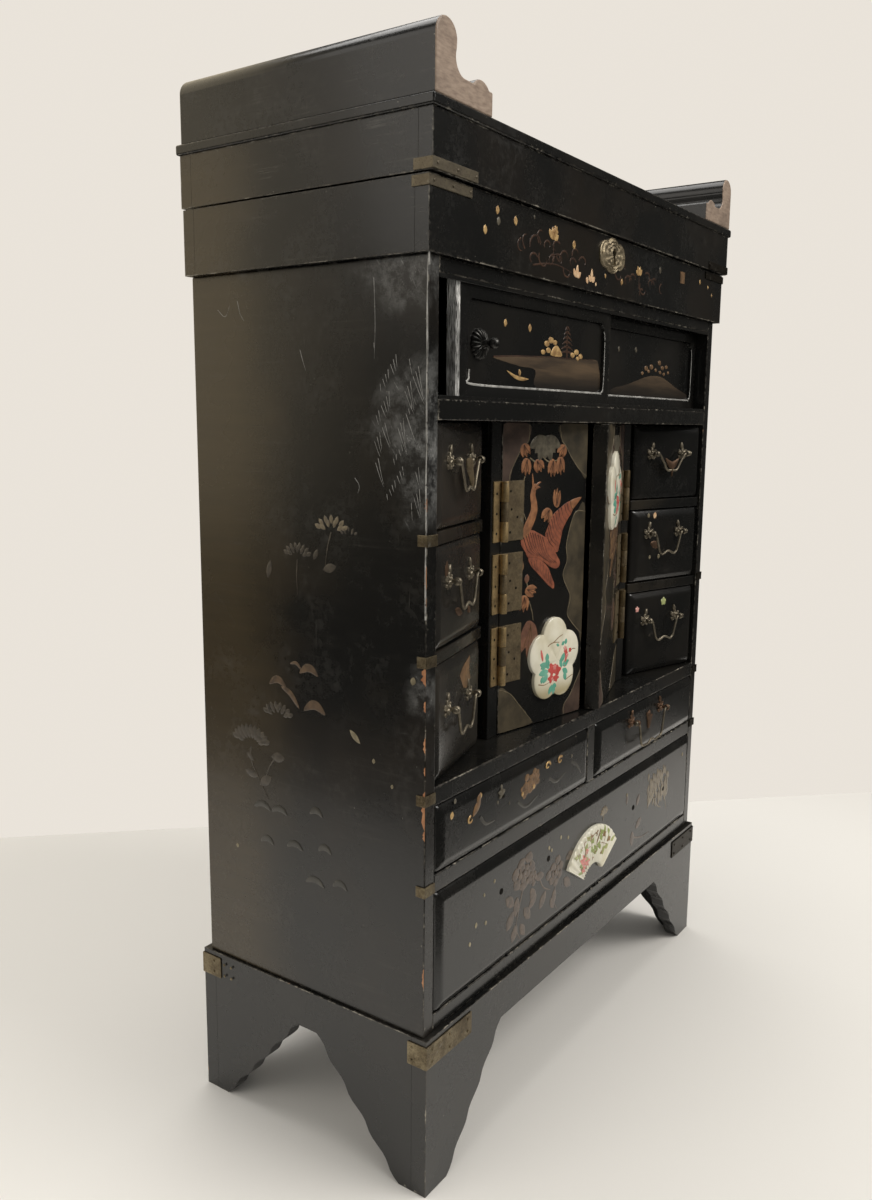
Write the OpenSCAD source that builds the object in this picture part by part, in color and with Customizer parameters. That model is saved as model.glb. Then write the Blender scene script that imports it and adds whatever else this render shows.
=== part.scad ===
// Small lacquered table cabinet: bracket-foot base, case with nine drawers, recessed cupboard,
// two sliding doors, and a lidded tray on top. X runs to the right, Y to the back, Z up.
// Inside the modules y = 0 is the front edge of the case sides.

/* [Case] */
// Width over the case sides
case_w = 382; // [376:1:390]
// Depth of the case
case_d = 169; // [166:1:180]
// Thickness of a case side
side_t = 9; // [8:0.5:9.5]
// Thickness of the back panel
back_t = 5; // [4:0.5:5]
// Thickness of the bottom board
floor_t = 9.8; // [9:0.2:12]
// Thickness of the three shelves
shelf_t = 10.5; // [10:0.5:12]
// Thickness of the case top
top_t = 8; // [7:0.5:9]

/* [Openings from the bottom up] */
// Height of the opening for the full-width drawer
wide_h = 71.9; // [70:0.1:74]
// Height of the opening for the two middle drawers
pair_h = 39.5; // [38:0.5:42]
// Height of the recess with the cupboard and the small drawers
recess_h = 193.8; // [192:0.2:200]
// Height of the opening for the sliding doors
sliding_h = 61.2; // [60:0.2:63]

/* [Base] */
// Height of the base
base_h = 95.5; // [92:0.5:98]
// Thickness of the base boards
base_t = 10; // [9:0.5:11]
// How far the base stands out in front of the case
base_front = 3.5; // [2:0.5:5]
// How far the base stands out at the sides
base_side = 2; // [1:0.5:3]
// How far the base stands out at the back
base_back = 4.5; // [2:0.5:5]
// Width of a foot where it meets the floor, at the front
foot_w = 20.7; // [16:0.1:24]
// Reach of the slanted foot edge along the front
front_slope = 57.5; // [50:0.5:62]
// Width of a side board where it meets the floor
side_foot_w = 8.8; // [7:0.1:12]
// Reach of the slanted foot edge along the side
side_slope = 62; // [54:1:64]
// Depth of the apron between the feet
apron_h = 24.5; // [20:0.5:28]
// Depth of the waves cut into the foot edges
wave_a = 1.3; // [0:0.1:2]

/* [Recess] */
// Slant of the small drawer fronts, in degrees
cant = 15.5; // [12:0.5:16]
// How far behind the case front the doors close
door_y = 22.5; // [22:0.5:24]
// Thickness of a cupboard door
door_t = 10; // [9:0.5:11]
// Half the clear width between the door posts
door_half = 84.8; // [84:0.2:86]
// How far the left door stands open at rest, in degrees
left_ajar = 10; // [0:1:20]
// How far the right door stands open at rest, in degrees
right_ajar = 18; // [0:1:20]
// Width of a door post
post_w = 11; // [10.5:0.5:12]
// Depth of a door post
post_d = 14; // [12:0.5:16]
// Thickness of a cupboard wall
wall_t = 7; // [6:0.5:7]
// Thickness of the shelves between the small drawers
small_shelf_t = 7.2; // [6:0.2:8]
// Height of the lowest small drawer opening
low_small_h = 65.6; // [64:0.2:67]
// Height of the middle small drawer opening
mid_small_h = 56.7; // [55:0.1:58]

/* [Drawers] */
// Thickness of a drawer front
front_t = 9; // [8:0.5:10]
// How far a straight drawer front stands out from its rail
proud = 2; // [1:0.5:3]
// Width of the bevel round a drawer front
bevel_w = 5; // [3:0.5:7]
// Depth of that bevel
bevel_d = 2.4; // [1:0.2:3]
// Thickness of drawer sides and backs
box_t = 5; // [4:0.5:6]
// Thickness of a drawer bottom
bottom_t = 3; // [2.5:0.5:4]
// Width of a small drawer front, measured along X
small_w = 75.5; // [70:0.5:76]

/* [Sliding doors] */
// Width of the left sliding door
slide_left_w = 177.5; // [170:0.5:180]
// Width of the right sliding door
slide_right_w = 193.5; // [190:0.5:200]
// How far the left door stands from its stop
slide_left_gap = 18.5; // [1:0.5:30]
// Thickness of a sliding door frame
slide_t = 6.2; // [5:0.2:6.4]
// Width of the frame members
slide_frame_w = 8.5; // [7:0.5:10]
// Thickness of a sliding door panel
slide_panel_t = 2.6; // [2:0.2:3]

/* [Tray and lid] */
// Height of the tray
tray_h = 36; // [34:0.5:38]
// Height of the lid frame
lid_h = 28.4; // [27:0.2:31]
// Thickness of the tray and lid boards
tray_t = 8.5; // [7.5:0.5:9]
// Thickness of the top board
board_t = 5.6; // [5:0.2:7]
// How far the tray stands out at the sides
tray_side = 5; // [4:0.5:6]
// How far the tray stands out in front
tray_front = 3.5; // [3:0.5:5]
// How far the lid stands out at the sides
lid_side = 6.1; // [5:0.1:7]
// How far the lid stands out in front
lid_front = 6.3; // [5:0.1:7]
// How far the top board stands out round the lid frame
board_over = 1.8; // [1:0.2:2]
// Open joint between the lid and the tray
lid_gap = 0.6; // [0.4:0.1:1]
// Height of the scrolled rails on the lid
gallery_h = 35.4; // [33:0.2:38]

/* [Metalwork] */
// Thickness of the brass straps, clips and hinge leaves
strap_t = 0.8; // [0.6:0.1:0.9]
// Radius of the bail rod
bail_r = 1.2; // [1:0.1:1.4]
// Radius of every pivot
pin_r = 1; // [0.9:0.1:1.1]
// Radial clearance of a pivot in its eye
pin_clear = 0.06; // [0.03:0.01:0.09]
// Radius of a hinge barrel
barrel_r = 2.4; // [2.2:0.1:2.6]
// Height of a cupboard hinge
hinge_h = 36.5; // [34:0.5:38]
// Distance of a bail pivot in front of its drawer
bail_out = 5.5; // [5:0.5:7]
// Distance between the handle posts of a small drawer
small_span = 37; // [34:0.5:40]
// Distance between the handle posts of the right middle drawer
pair_span = 53; // [48:0.5:56]

/* [Hidden] */
$fn = 48;
front_y = -82.25;
joint = 0.05;
play = 0.5;
half_w = case_w / 2;
inner = half_w - side_t;
inner_d = case_d - back_t;
// Height of the top of the bottom board, and of each opening above it
z_wide = base_h + floor_t;
z_lower = z_wide + wide_h;
z_pair = z_lower + shelf_t;
z_middle = z_pair + pair_h;
z_recess = z_middle + shelf_t;
z_upper = z_recess + recess_h;
z_slide = z_upper + shelf_t;
z_top = z_slide + sliding_h;
z_tray = z_top + top_t;
z_joint = z_tray + tray_h;
z_lid = z_joint + lid_gap;
z_board = z_lid + lid_h;
z_crest = z_board + board_t;
// Small drawers: floor heights, opening heights and handle heights, from the lowest up
small_z = [z_recess, z_recess + low_small_h + small_shelf_t,
    z_recess + low_small_h + mid_small_h + 2 * small_shelf_t];
small_h = [low_small_h, mid_small_h, z_upper - small_z[2]];
left_handle_z = [276.3, 347, 410.4];
right_handle_z = [280.8, 348.8, 409.5];
left_handle_u = 36;
right_handle_u = 43.3;
small_drop = 16;
pair_drop = 20;
box_end = inner_d - 6;
small_x = -half_w + 9.9;
small_y = 0.45;
pair_left = [-half_w + 9.9, -half_w + 187.2];
pair_right = [-half_w + 198.9, half_w - 9.9];
upright_x = [-half_w + 187.9, -half_w + 198.2];
pair_handle = [88.2, 216];
// Door axis, in front of the closed doors
axis_x = door_half;
axis_y = door_y - strap_t - 2.1;
leaf_near = 2.2;
door_w = door_half - 1.7;
left_hinge_z = [289, 334, 378];
right_hinge_z = [290.5, 333, 379.5];
door_leaf = 20;
post_leaf = 9;
lid_leaf = 14;
lid_hinge_x = 125;
lid_hinge_w = 34;
lid_axis_y = case_d + strap_t + 2.1;
lid_axis_z = z_joint + lid_gap / 2;
wave_steps = 24;
wave_count = 4;

module placed() {
    translate([0, front_y, 0])
        children();
}

module board(x, y, z) {
    translate([x[0], y[0], z[0]])
        cube([x[1] - x[0], y[1] - y[0], z[1] - z[0]]);
}

module both_sides() {
    children();
    mirror([1, 0, 0])
        children();
}

module rod(from, to, r) {
    d = to - from;
    len = norm(d);
    translate(from)
        rotate([0, acos(d[2] / len), atan2(d[1], d[0])])
            cylinder(r = r, h = len);
}

// ---- Base ----

// One slanted foot edge with shallow waves, from the floor up to the apron
function foot_edge(start, reach) = [
    for (i = [0:wave_steps])
        let (t = i / wave_steps)
            [start + reach * t + wave_a * sin(360 * wave_count * t), (base_h - apron_h) * t]
];

// Foot edges of both ends, joined by the apron's lower edge
function bracket_outline(len, foot, reach) = concat(
    [[0, 0]],
    foot_edge(foot, reach),
    [for (i = [wave_steps:-1:0]) [len - foot_edge(foot, reach)[i][0], foot_edge(foot, reach)[i][1]]],
    [[len, 0], [len, base_h], [0, base_h]]
);

module bracket_board(len, foot, reach) {
    rotate([90, 0, 0])
        translate([0, 0, -base_t])
            linear_extrude(base_t)
                polygon(bracket_outline(len, foot, reach));
}

module base_frame() {
    base_w = case_w + 2 * base_side;
    base_d = case_d + base_front + base_back;
    side_len = base_d - 2 * (base_t + joint);
    color("#1d1a17")
        placed() {
            translate([-base_w / 2, -base_front, 0])
                bracket_board(base_w, foot_w, front_slope);
            translate([-base_w / 2, case_d + base_back - base_t, 0])
                bracket_board(base_w, foot_w, front_slope);
            both_sides()
                translate([-base_w / 2 + base_t, base_t + joint - base_front, 0])
                    rotate([0, 0, 90])
                        bracket_board(side_len, side_foot_w, side_slope);
        }
}

// ---- Case ----

module case_side() {
    board([-half_w, -inner], [0, case_d], [base_h, z_tray]);
}

module case_side_left() {
    color("#1f1c19")
        placed()
            case_side();
}

module case_side_right() {
    color("#1f1c19")
        placed()
            mirror([1, 0, 0])
                case_side();
}

module back_panel() {
    color("#4a3a2c")
        placed()
            board([-inner, inner], [inner_d, case_d], [base_h, z_tray]);
}

module shelf(z, t) {
    color("#1f1c19")
        placed()
            board([-inner, inner], [0, inner_d], [z, z + t]);
}

module drawer_upright() {
    color("#1f1c19")
        placed()
            board(upright_x, [0, inner_d], [z_pair, z_middle]);
}

// Lips in front of and behind the two sliding doors, at the sill and at the head
module sliding_tracks() {
    lip = 2;
    rear_y = 16.5;
    color("#1f1c19")
        placed()
            for (z = [z_slide, z_top - lip]) {
                board([-inner, inner], [0, 1.7], [z, z + lip]);
                board([-inner, inner], [rear_y, rear_y + lip], [z, z + lip]);
            }
}

module cupboard_walls() {
    post_out = axis_x + post_w;
    wall_y = door_y + 7;
    color("#1f1c19")
        placed()
            both_sides() {
                board([-post_out, -axis_x], [door_y, door_y + post_d], [z_recess, z_upper]);
                board([-post_out - wall_t, -post_out - joint], [wall_y, inner_d], [z_recess, z_upper]);
            }
}

// Shelf between two small drawers; its front edge is parallel to the slanted drawer fronts
module small_shelf(z) {
    wall_x = -axis_x - post_w - wall_t;
    first_y = 1.6;
    last_y = first_y + (wall_x + inner) * tan(cant);
    translate([0, 0, z])
        linear_extrude(small_shelf_t)
            polygon([[-inner, first_y], [wall_x, last_y], [wall_x, inner_d], [-inner, inner_d]]);
}

module small_drawer_shelves() {
    color("#3a2016")
        placed()
            both_sides()
                for (i = [1, 2])
                    small_shelf(small_z[i] - small_shelf_t);
}

// ---- Brass corners and clips ----

// Strap bent round an outer corner: front leg along X, side leg along Y
module angle_strap(corner, front_leg, side_leg, h) {
    translate(corner) {
        translate([-strap_t, -strap_t, 0])
            cube([front_leg + strap_t, strap_t, h]);
        translate([-strap_t, -strap_t, 0])
            cube([strap_t, side_leg + strap_t, h]);
    }
}

module rail_clip(z) {
    clip_h = 6;
    board([-half_w + 0.3, -inner - 0.3], [-strap_t, 0], [z - clip_h / 2, z + clip_h / 2]);
}

module corner_brasses() {
    base_x = half_w + base_side;
    strap_z = 79;
    strap_h = 13.5;
    color("#8f7a4a")
        placed() {
            both_sides() {
                angle_strap([-base_x, -base_front, strap_z], 44, 12.6, strap_h);
                translate([0, case_d, 0])
                    mirror([0, 1, 0])
                        angle_strap([-base_x, -base_back, strap_z], 25, 15.5, strap_h);
                angle_strap([-half_w - tray_side, -tray_front, z_joint - 6], 36, 10, 5.2);
            }
            for (z = [180.9, 232.2, 307.4, 370.8])
                rail_clip(z);
            mirror([1, 0, 0])
                for (z = [185.4, 231.3, 309.6])
                    rail_clip(z);
        }
}

// ---- Tray, lock and lid ----

// Four boards of a low frame; the front and back boards run across the ends of the sides
module frame_boards(side, front, z, h) {
    x = half_w + side;
    board([-x, x], [-front, tray_t - front], [z, z + h]);
    board([-x, x], [case_d - tray_t, case_d], [z, z + h]);
    both_sides()
        board([-x, tray_t - x], [tray_t - front + joint, case_d - tray_t - joint], [z, z + h]);
}

keyhole_z = z_tray + 26;

module keyhole_cutter() {
    slot = 1.1;
    translate([0, 0, keyhole_z])
        rotate([90, 0, 0])
            cylinder(r = 1.9, h = 40, center = true);
    board([-slot, slot], [-20, 20], [keyhole_z - 6.5, keyhole_z]);
}

module tray_frame() {
    color("#1f1c19")
        placed()
            difference() {
                frame_boards(tray_side, tray_front, z_tray, tray_h);
                keyhole_cutter();
            }
}

// Lobed keyhole plate: a raised middle and a lobe on each side
module escutcheon() {
    lobe_r = 8;
    lobe_x = 10;
    middle_r = 10.2;
    color("#5d5034")
        placed()
            difference() {
                translate([0, -tray_front, keyhole_z - 1.5])
                    rotate([90, 0, 0]) {
                        for (x = [-lobe_x, lobe_x])
                            translate([x, 0, 0])
                                cylinder(r = lobe_r, h = 1);
                        cylinder(r = middle_r, h = 1);
                        translate([0, 0, 1])
                            cylinder(r1 = middle_r - 1.2, r2 = middle_r - 2.6, h = 0.8);
                    }
                keyhole_cutter();
            }
}

lock_x = 16;
lock_y = tray_t - tray_front;
lock_z = z_tray + 11;
lock_top = z_joint - 2;
bolt_z = lock_z + 12;
lock_depth = 8;

module lock_case() {
    color("#6b6252")
        placed() {
            board([-lock_x, lock_x], [lock_y + lock_depth, lock_y + lock_depth + 1], [lock_z, lock_top]);
            both_sides()
                board([-lock_x, 1 - lock_x], [lock_y, lock_y + lock_depth - joint], [lock_z, lock_top]);
            board([1 - lock_x + joint, lock_x - 1 - joint], [lock_y, lock_y + lock_depth - joint],
                [lock_z, lock_z + 1]);
            board([1 - lock_x + joint, -4.5], [lock_y, lock_y + lock_depth - joint],
                [lock_z + 1 + joint, bolt_z - 0.3]);
        }
}

// Bolt; it shoots to the right over the hook of the lid's staple
module lock_bolt() {
    color("#8a7f66")
        placed()
            board([-13.5, -5], [lock_y + 1.5, lock_y + 5.5], [bolt_z, bolt_z + 5]);
}

module lid_frame() {
    color("#1f1c19")
        placed()
            frame_boards(lid_side, lid_front, z_lid, lid_h);
}

module lid_board() {
    x = half_w + lid_side + board_over;
    color("#1f1c19")
        placed()
            board([-x, x], [-lid_front - board_over, case_d + board_over], [z_board, z_crest]);
}

// Scrolled rail: a rounded head, a hollow neck and a low rounded toe, seen from the front
module gallery() {
    len = case_d + lid_front + 1;
    head_r = 8.8;
    toe_r = 9;
    toe_h = 15.3;
    foot_h = 12;
    foot_w_rail = 49.2;
    neck_r = 8;
    neck_x = 24.7;
    difference() {
        union() {
            translate([head_r, 0, gallery_h - head_r])
                rotate([-90, 0, 0])
                    cylinder(r = head_r, h = len);
            cube([17.4, len, gallery_h - head_r]);
            cube([foot_w_rail, len, foot_h]);
            cube([neck_x, len, foot_h + neck_r]);
            translate([38.9, 0, toe_h - toe_r])
                rotate([-90, 0, 0])
                    cylinder(r = toe_r, h = len);
        }
        translate([neck_x, -1, foot_h + neck_r])
            rotate([-90, 0, 0])
                cylinder(r = neck_r, h = len + 2);
        translate([0, -1, -toe_r])
            cube([foot_w_rail, len + 2, toe_r]);
    }
}

module galleries() {
    color("#5a4636")
        placed()
            both_sides()
                translate([-half_w - 5.4, -lid_front - 1, z_crest])
                    gallery();
}

// Corner straps, and the hook-shaped staple that the bolt catches
module lid_brasses() {
    hook_y = [lock_y + 2.2, lock_y + 4.2];
    hook_z = bolt_z - 4.5;
    color("#8f7a4a")
        placed() {
            both_sides()
                angle_strap([-half_w - lid_side, -lid_front, z_lid + 0.4], 38, 11, 5.4);
            board([3, 5], hook_y, [hook_z, z_lid + 6]);
            board([-3, 5], hook_y, [hook_z, hook_z + 2.5]);
            board([3, 5], [tray_t - lid_front, hook_y[1]], [z_lid + 0.5, z_lid + 6]);
        }
}

// ---- Hinges: axis along Z through the origin, leaves in the plane y = 2.1 ----

module hinge_plate(from, to, z) {
    board([from, to], [2.1, 2.1 + strap_t], z);
}

// Fixed half: two outer knuckles on one leaf, and the pin
module hinge_fixed(h, leaf) {
    third = h / 3;
    translate([0, 0, -h / 2]) {
        for (z = [0, h - third]) {
            translate([0, 0, z])
                cylinder(r = barrel_r, h = third);
            hinge_plate(-leaf_near, 0, [z, z + third]);
        }
        cylinder(r = pin_r, h = h);
        hinge_plate(-leaf, -leaf_near, [0, h]);
    }
}

// Moving half: the middle knuckle, bored for the pin, on the other leaf
module hinge_moving(h, leaf) {
    third = h / 3;
    gap = 0.4;
    translate([0, 0, -h / 2]) {
        difference() {
            union() {
                translate([0, 0, third + gap])
                    cylinder(r = barrel_r, h = third - 2 * gap);
                hinge_plate(0, leaf_near, [third + gap, 2 * third - gap]);
            }
            cylinder(r = pin_r + pin_clear, h = h);
        }
        hinge_plate(leaf_near, leaf, [0, h]);
    }
}

module at_lid_hinges() {
    for (x = [-lid_hinge_x, lid_hinge_x])
        translate([x, lid_axis_y, lid_axis_z])
            rotate([0, 90, 0])
                rotate([0, 0, 180])
                    children();
}

module lid_hinge_barrels() {
    color("#6b5a36")
        placed()
            at_lid_hinges()
                hinge_fixed(lid_hinge_w, lid_leaf);
}

module lid_hinge_leaves() {
    color("#6b5a36")
        placed()
            at_lid_hinges()
                hinge_moving(lid_hinge_w, lid_leaf);
}

module door_hinge_barrels() {
    color("#6b5a36")
        placed() {
            for (z = left_hinge_z)
                translate([-axis_x, axis_y, z])
                    hinge_fixed(hinge_h, post_leaf);
            mirror([1, 0, 0])
                for (z = right_hinge_z)
                    translate([-axis_x, axis_y, z])
                        hinge_fixed(hinge_h, post_leaf);
        }
}

// ---- Sliding doors ----

module sliding_frame(x, y) {
    z = [z_slide + 0.4, z_top - 0.4];
    w = slide_frame_w;
    yy = [y, y + slide_t];
    board([x[0], x[0] + w], yy, z);
    board([x[1] - w, x[1]], yy, z);
    board([x[0] + w + joint, x[1] - w - joint], yy, [z[0], z[0] + w]);
    board([x[0] + w + joint, x[1] - w - joint], yy, [z[1] - w, z[1]]);
}

module sliding_panel(x, y) {
    w = slide_frame_w;
    y_panel = y + 2;
    board([x[0] + w, x[1] - w], [y_panel, y_panel + slide_panel_t],
        [z_slide + 0.4 + w, z_top - 0.4 - w]);
}

slide_left_x = [slide_left_gap - inner, slide_left_gap - inner + slide_left_w];
slide_right_x = [inner - play - slide_right_w, inner - play];
slide_left_y = 2.2;
slide_right_y = 9.6;

module sliding_frame_left() {
    color("#1f1c19")
        placed()
            sliding_frame(slide_left_x, slide_left_y);
}

module sliding_panel_left() {
    color("#4c3c24")
        placed()
            sliding_panel(slide_left_x, slide_left_y);
}

module sliding_frame_right() {
    color("#1f1c19")
        placed()
            sliding_frame(slide_right_x, slide_right_y);
}

module sliding_panel_right() {
    color("#4c3c24")
        placed()
            sliding_panel(slide_right_x, slide_right_y);
}

// Chrysanthemum plate with a ball knob, on the left sliding panel
module rosette_knob() {
    plate_r = 8.4;
    ball_r = 3.1;
    reach = 12.6;
    color("#8a8170")
        placed()
            translate([-half_w + 51.7, slide_left_y + 2, 472])
                rotate([90, 0, 0]) {
                    cylinder(r = plate_r, h = 1.6);
                    translate([0, 0, 1.6])
                        cylinder(r1 = plate_r - 0.6, r2 = 4.6, h = 1.8);
                    cylinder(r = 1.7, h = reach - ball_r);
                    translate([0, 0, reach - ball_r])
                        sphere(r = ball_r);
                }
}

// ---- Cupboard doors ----

// Left door, closed, with the axis at the origin and z measured from the floor
module door_leaf() {
    board([0.3, 0.3 + door_w], [door_y - axis_y, door_y - axis_y + door_t],
        [z_recess + play, z_upper - play]);
}

// Outline of round lobes set round a centre, each a part circle of twice the sweep angle
function lobed_outline(lobes, lobe_at, lobe_r, sweep) = [
    for (i = [0:lobes - 1], a = [-sweep:sweep / 5:sweep])
        let (turn = 90 + 360 / lobes * i)
            [lobe_at * cos(turn) + lobe_r * cos(turn + a), lobe_at * sin(turn) + lobe_r * sin(turn + a)]
];

// Five-lobed plaque with a raised middle, centred u along the door
module door_plaque(u, z) {
    translate([u, door_y - axis_y, z])
        rotate([90, 0, 0]) {
            linear_extrude(2.4)
                polygon(lobed_outline(5, 14, 13, 74));
            translate([0, 0, 2])
                cylinder(r1 = 19, r2 = 12, h = 2.4);
        }
}

module door_leaves(heights) {
    for (z = heights)
        translate([0, 0, z])
            hinge_moving(hinge_h, door_leaf);
}

module left_door_place() {
    placed()
        translate([-axis_x, axis_y, 0])
            rotate([0, 0, -left_ajar])
                children();
}

module right_door_place() {
    placed()
        mirror([1, 0, 0])
            translate([-axis_x, axis_y, 0])
                rotate([0, 0, -right_ajar])
                    children();
}

module cupboard_door_left() {
    color("#3b2c1e")
        left_door_place()
            door_leaf();
}

module plaque_left() {
    color("#d8cfb6")
        left_door_place()
            door_plaque(52.5, 278.7);
}

module hinge_leaves_left() {
    color("#8f7a4a")
        left_door_place()
            door_leaves(left_hinge_z);
}

module cupboard_door_right() {
    color("#3b2c1e")
        right_door_place()
            door_leaf();
}

module plaque_right() {
    color("#d8cfb6")
        right_door_place()
            door_plaque(52.5, 385);
}

module hinge_leaves_right() {
    color("#8f7a4a")
        right_door_place()
            door_leaves(right_hinge_z);
}

// ---- Drawers ----

// Height of the slanted line's y at x, for a drawer whose front starts at x0
function slanted(y0, x0, x, slant) = y0 + (x - x0) * tan(slant);

// Front board with all four edges bevelled; its ends stay parallel to the case sides
module drawer_front(x, y, z, slant) {
    c = cos(slant);
    s = sin(slant);
    w = (x[1] - x[0]) / c;
    h = z[1] - z[0];
    y1 = slanted(y, x[0], x[1], slant);
    intersection() {
        translate([0, 0, z[0]])
            linear_extrude(h)
                polygon([
                    [x[0], y + bevel_d / c],
                    [x[0] + bevel_w * c, y + bevel_w * s],
                    [x[1] - bevel_w * c, y1 - bevel_w * s],
                    [x[1], y1 + bevel_d / c],
                    [x[1], y1 + front_t / c],
                    [x[0], y + front_t / c]
                ]);
        translate([x[0], y, z[0]])
            rotate([0, 0, slant])
                translate([-20, 0, 0])
                    rotate([90, 0, 90])
                        linear_extrude(w + 40)
                            polygon([
                                [bevel_d, 0], [0, bevel_w], [0, h - bevel_w],
                                [bevel_d, h], [20, h], [20, 0]
                            ]);
    }
}

// Open box behind the front: two sides, a back and a bottom, each a separate board
module drawer_box(x, y, z, slant) {
    c = cos(slant);
    off = front_t / c + joint;
    edge = 1;
    x0 = x[0] + edge;
    x1 = x[1] - edge;
    side_z = z[1] - 4;
    for (xs = [x0, x1 - box_t])
        translate([0, 0, z[0]])
            linear_extrude(side_z - z[0])
                polygon([
                    [xs, slanted(y, x[0], xs, slant) + off],
                    [xs + box_t, slanted(y, x[0], xs + box_t, slant) + off],
                    [xs + box_t, box_end],
                    [xs, box_end]
                ]);
    xa = x0 + box_t + joint;
    xb = x1 - box_t - joint;
    board([xa, xb], [box_end - box_t, box_end], [z[0], side_z]);
    translate([0, 0, z[0] + 1])
        linear_extrude(bottom_t)
            polygon([
                [xa, slanted(y, x[0], xa, slant) + off],
                [xb, slanted(y, x[0], xb, slant) + off],
                [xb, box_end - box_t - joint],
                [xa, box_end - box_t - joint]
            ]);
}

module drawer(x, y, z, slant) {
    color("#211d1a")
        drawer_front(x, y, z, slant);
    color("#7a5f43")
        drawer_box(x, y, z, slant);
}

module small_drawer(i) {
    drawer([small_x, small_x + small_w], small_y,
        [small_z[i] + play, small_z[i] + small_h[i] - play], cant);
}

module drawer_left_top() {
    placed()
        small_drawer(2);
}

module drawer_left_mid() {
    placed()
        small_drawer(1);
}

module drawer_left_low() {
    placed()
        small_drawer(0);
}

module drawer_right_top() {
    placed()
        mirror([1, 0, 0])
            small_drawer(2);
}

module drawer_right_mid() {
    placed()
        mirror([1, 0, 0])
            small_drawer(1);
}

module drawer_right_low() {
    placed()
        mirror([1, 0, 0])
            small_drawer(0);
}

module drawer_pair_left() {
    placed()
        drawer(pair_left, -proud, [z_pair + play, z_middle - play], 0);
}

module drawer_pair_right() {
    placed()
        drawer(pair_right, -proud, [z_pair + play, z_middle - play], 0);
}

module drawer_wide() {
    placed()
        drawer([-half_w + 9.9, half_w - 9.9], -proud, [z_wide + play, z_lower - play], 0);
}

// Folding-fan shape: a ring sector with a plain lower edge
module fan_plaque() {
    outer_r = 42.6;
    inner_r = 15.8;
    reach = 60;
    color("#d8cfb6")
        placed()
            translate([3, -proud, 112.2])
                rotate([90, 0, 0])
                    intersection() {
                        union() {
                            difference() {
                                cylinder(r = outer_r, h = 2.4, $fn = 96);
                                translate([0, 0, -1])
                                    cylinder(r = inner_r, h = 6);
                            }
                            translate([0, 0, 2.4])
                                difference() {
                                    cylinder(r = outer_r - 2.5, h = 1, $fn = 96);
                                    translate([0, 0, -1])
                                        cylinder(r = inner_r + 2.5, h = 3);
                                }
                        }
                        translate([0, 0, -1])
                            linear_extrude(6)
                                polygon([[0, 0], [reach * cos(32), reach * sin(32)], [0, reach],
                                    [reach * cos(147), reach * sin(147)]]);
                    }
}

// ---- Drawer handles: x along the front, y into the drawer, pivot at y = -bail_out ----

module handle_post(x, z) {
    eye_r = 2.3;
    eye_w = 3;
    translate([x, 0, z]) {
        rotate([90, 0, 0]) {
            cylinder(r = 4, h = 0.9);
            cylinder(r = 1.4, h = bail_out - 1.5);
        }
        translate([-eye_w / 2, -bail_out, 0])
            rotate([0, 90, 0])
                difference() {
                    cylinder(r = eye_r, h = eye_w);
                    translate([0, 0, -1])
                        cylinder(r = pin_r + pin_clear, h = eye_w + 2);
                }
    }
}

// Two posts, and the leaf-shaped plate between them
module handle_posts(span, z, leaf) {
    handle_post(-span / 2, z);
    handle_post(span / 2, z);
    if (leaf)
        translate([0, 0, z - 3])
            rotate([90, 0, 0])
                intersection() {
                    translate([-5, 0, 0])
                        cylinder(r = 9.5, h = 1);
                    translate([5, 0, 0])
                        cylinder(r = 9.5, h = 1);
                }
}

// Bail: two pivots, two sloping arms with rounded elbows, and the grip
module bail(span, z, drop) {
    top = span / 2 - 3.2;
    low = span / 2 - 8.5;
    elbow_r = bail_r + 0.15;
    translate([0, -bail_out, z]) {
        for (side = [-1, 1]) {
            rod([side * top, 0, 0], [side * (span / 2 + 2.6), 0, 0], pin_r);
            rod([side * (span / 2 + 1.9), 0, 0], [side * (span / 2 + 3.4), 0, 0], 1.8);
            rod([side * top, 0, 0], [side * low, 0, -drop], bail_r);
            translate([side * top, 0, 0])
                sphere(r = elbow_r);
            translate([side * low, 0, -drop])
                sphere(r = elbow_r);
        }
        rod([-low, 0, -drop], [low, 0, -drop], bail_r);
    }
}

module on_small_front(u) {
    translate([small_x, small_y, 0])
        rotate([0, 0, cant])
            translate([u, 0, 0])
                children();
}

module small_posts(u, z, leaf) {
    color("#8f7a4a")
        on_small_front(u)
            handle_posts(small_span, z, leaf);
}

module small_bail(u, z) {
    color("#8f7a4a")
        on_small_front(u)
            bail(small_span, z, small_drop);
}

module posts_left_top() {
    placed()
        small_posts(left_handle_u, left_handle_z[2], true);
}

module posts_left_mid() {
    placed()
        small_posts(left_handle_u, left_handle_z[1], false);
}

module posts_left_low() {
    placed()
        small_posts(left_handle_u, left_handle_z[0], false);
}

module posts_right_top() {
    placed()
        mirror([1, 0, 0])
            small_posts(right_handle_u, right_handle_z[2], true);
}

module posts_right_mid() {
    placed()
        mirror([1, 0, 0])
            small_posts(right_handle_u, right_handle_z[1], false);
}

module posts_right_low() {
    placed()
        mirror([1, 0, 0])
            small_posts(right_handle_u, right_handle_z[0], false);
}

module posts_pair() {
    color("#8f7a4a")
        placed()
            translate([pair_handle[0], -proud, 0])
                handle_posts(pair_span, pair_handle[1], true);
}

module bail_left_top() {
    placed()
        small_bail(left_handle_u, left_handle_z[2]);
}

module bail_left_mid() {
    placed()
        small_bail(left_handle_u, left_handle_z[1]);
}

module bail_left_low() {
    placed()
        small_bail(left_handle_u, left_handle_z[0]);
}

module bail_right_top() {
    placed()
        mirror([1, 0, 0])
            small_bail(right_handle_u, right_handle_z[2]);
}

module bail_right_mid() {
    placed()
        mirror([1, 0, 0])
            small_bail(right_handle_u, right_handle_z[1]);
}

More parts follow.
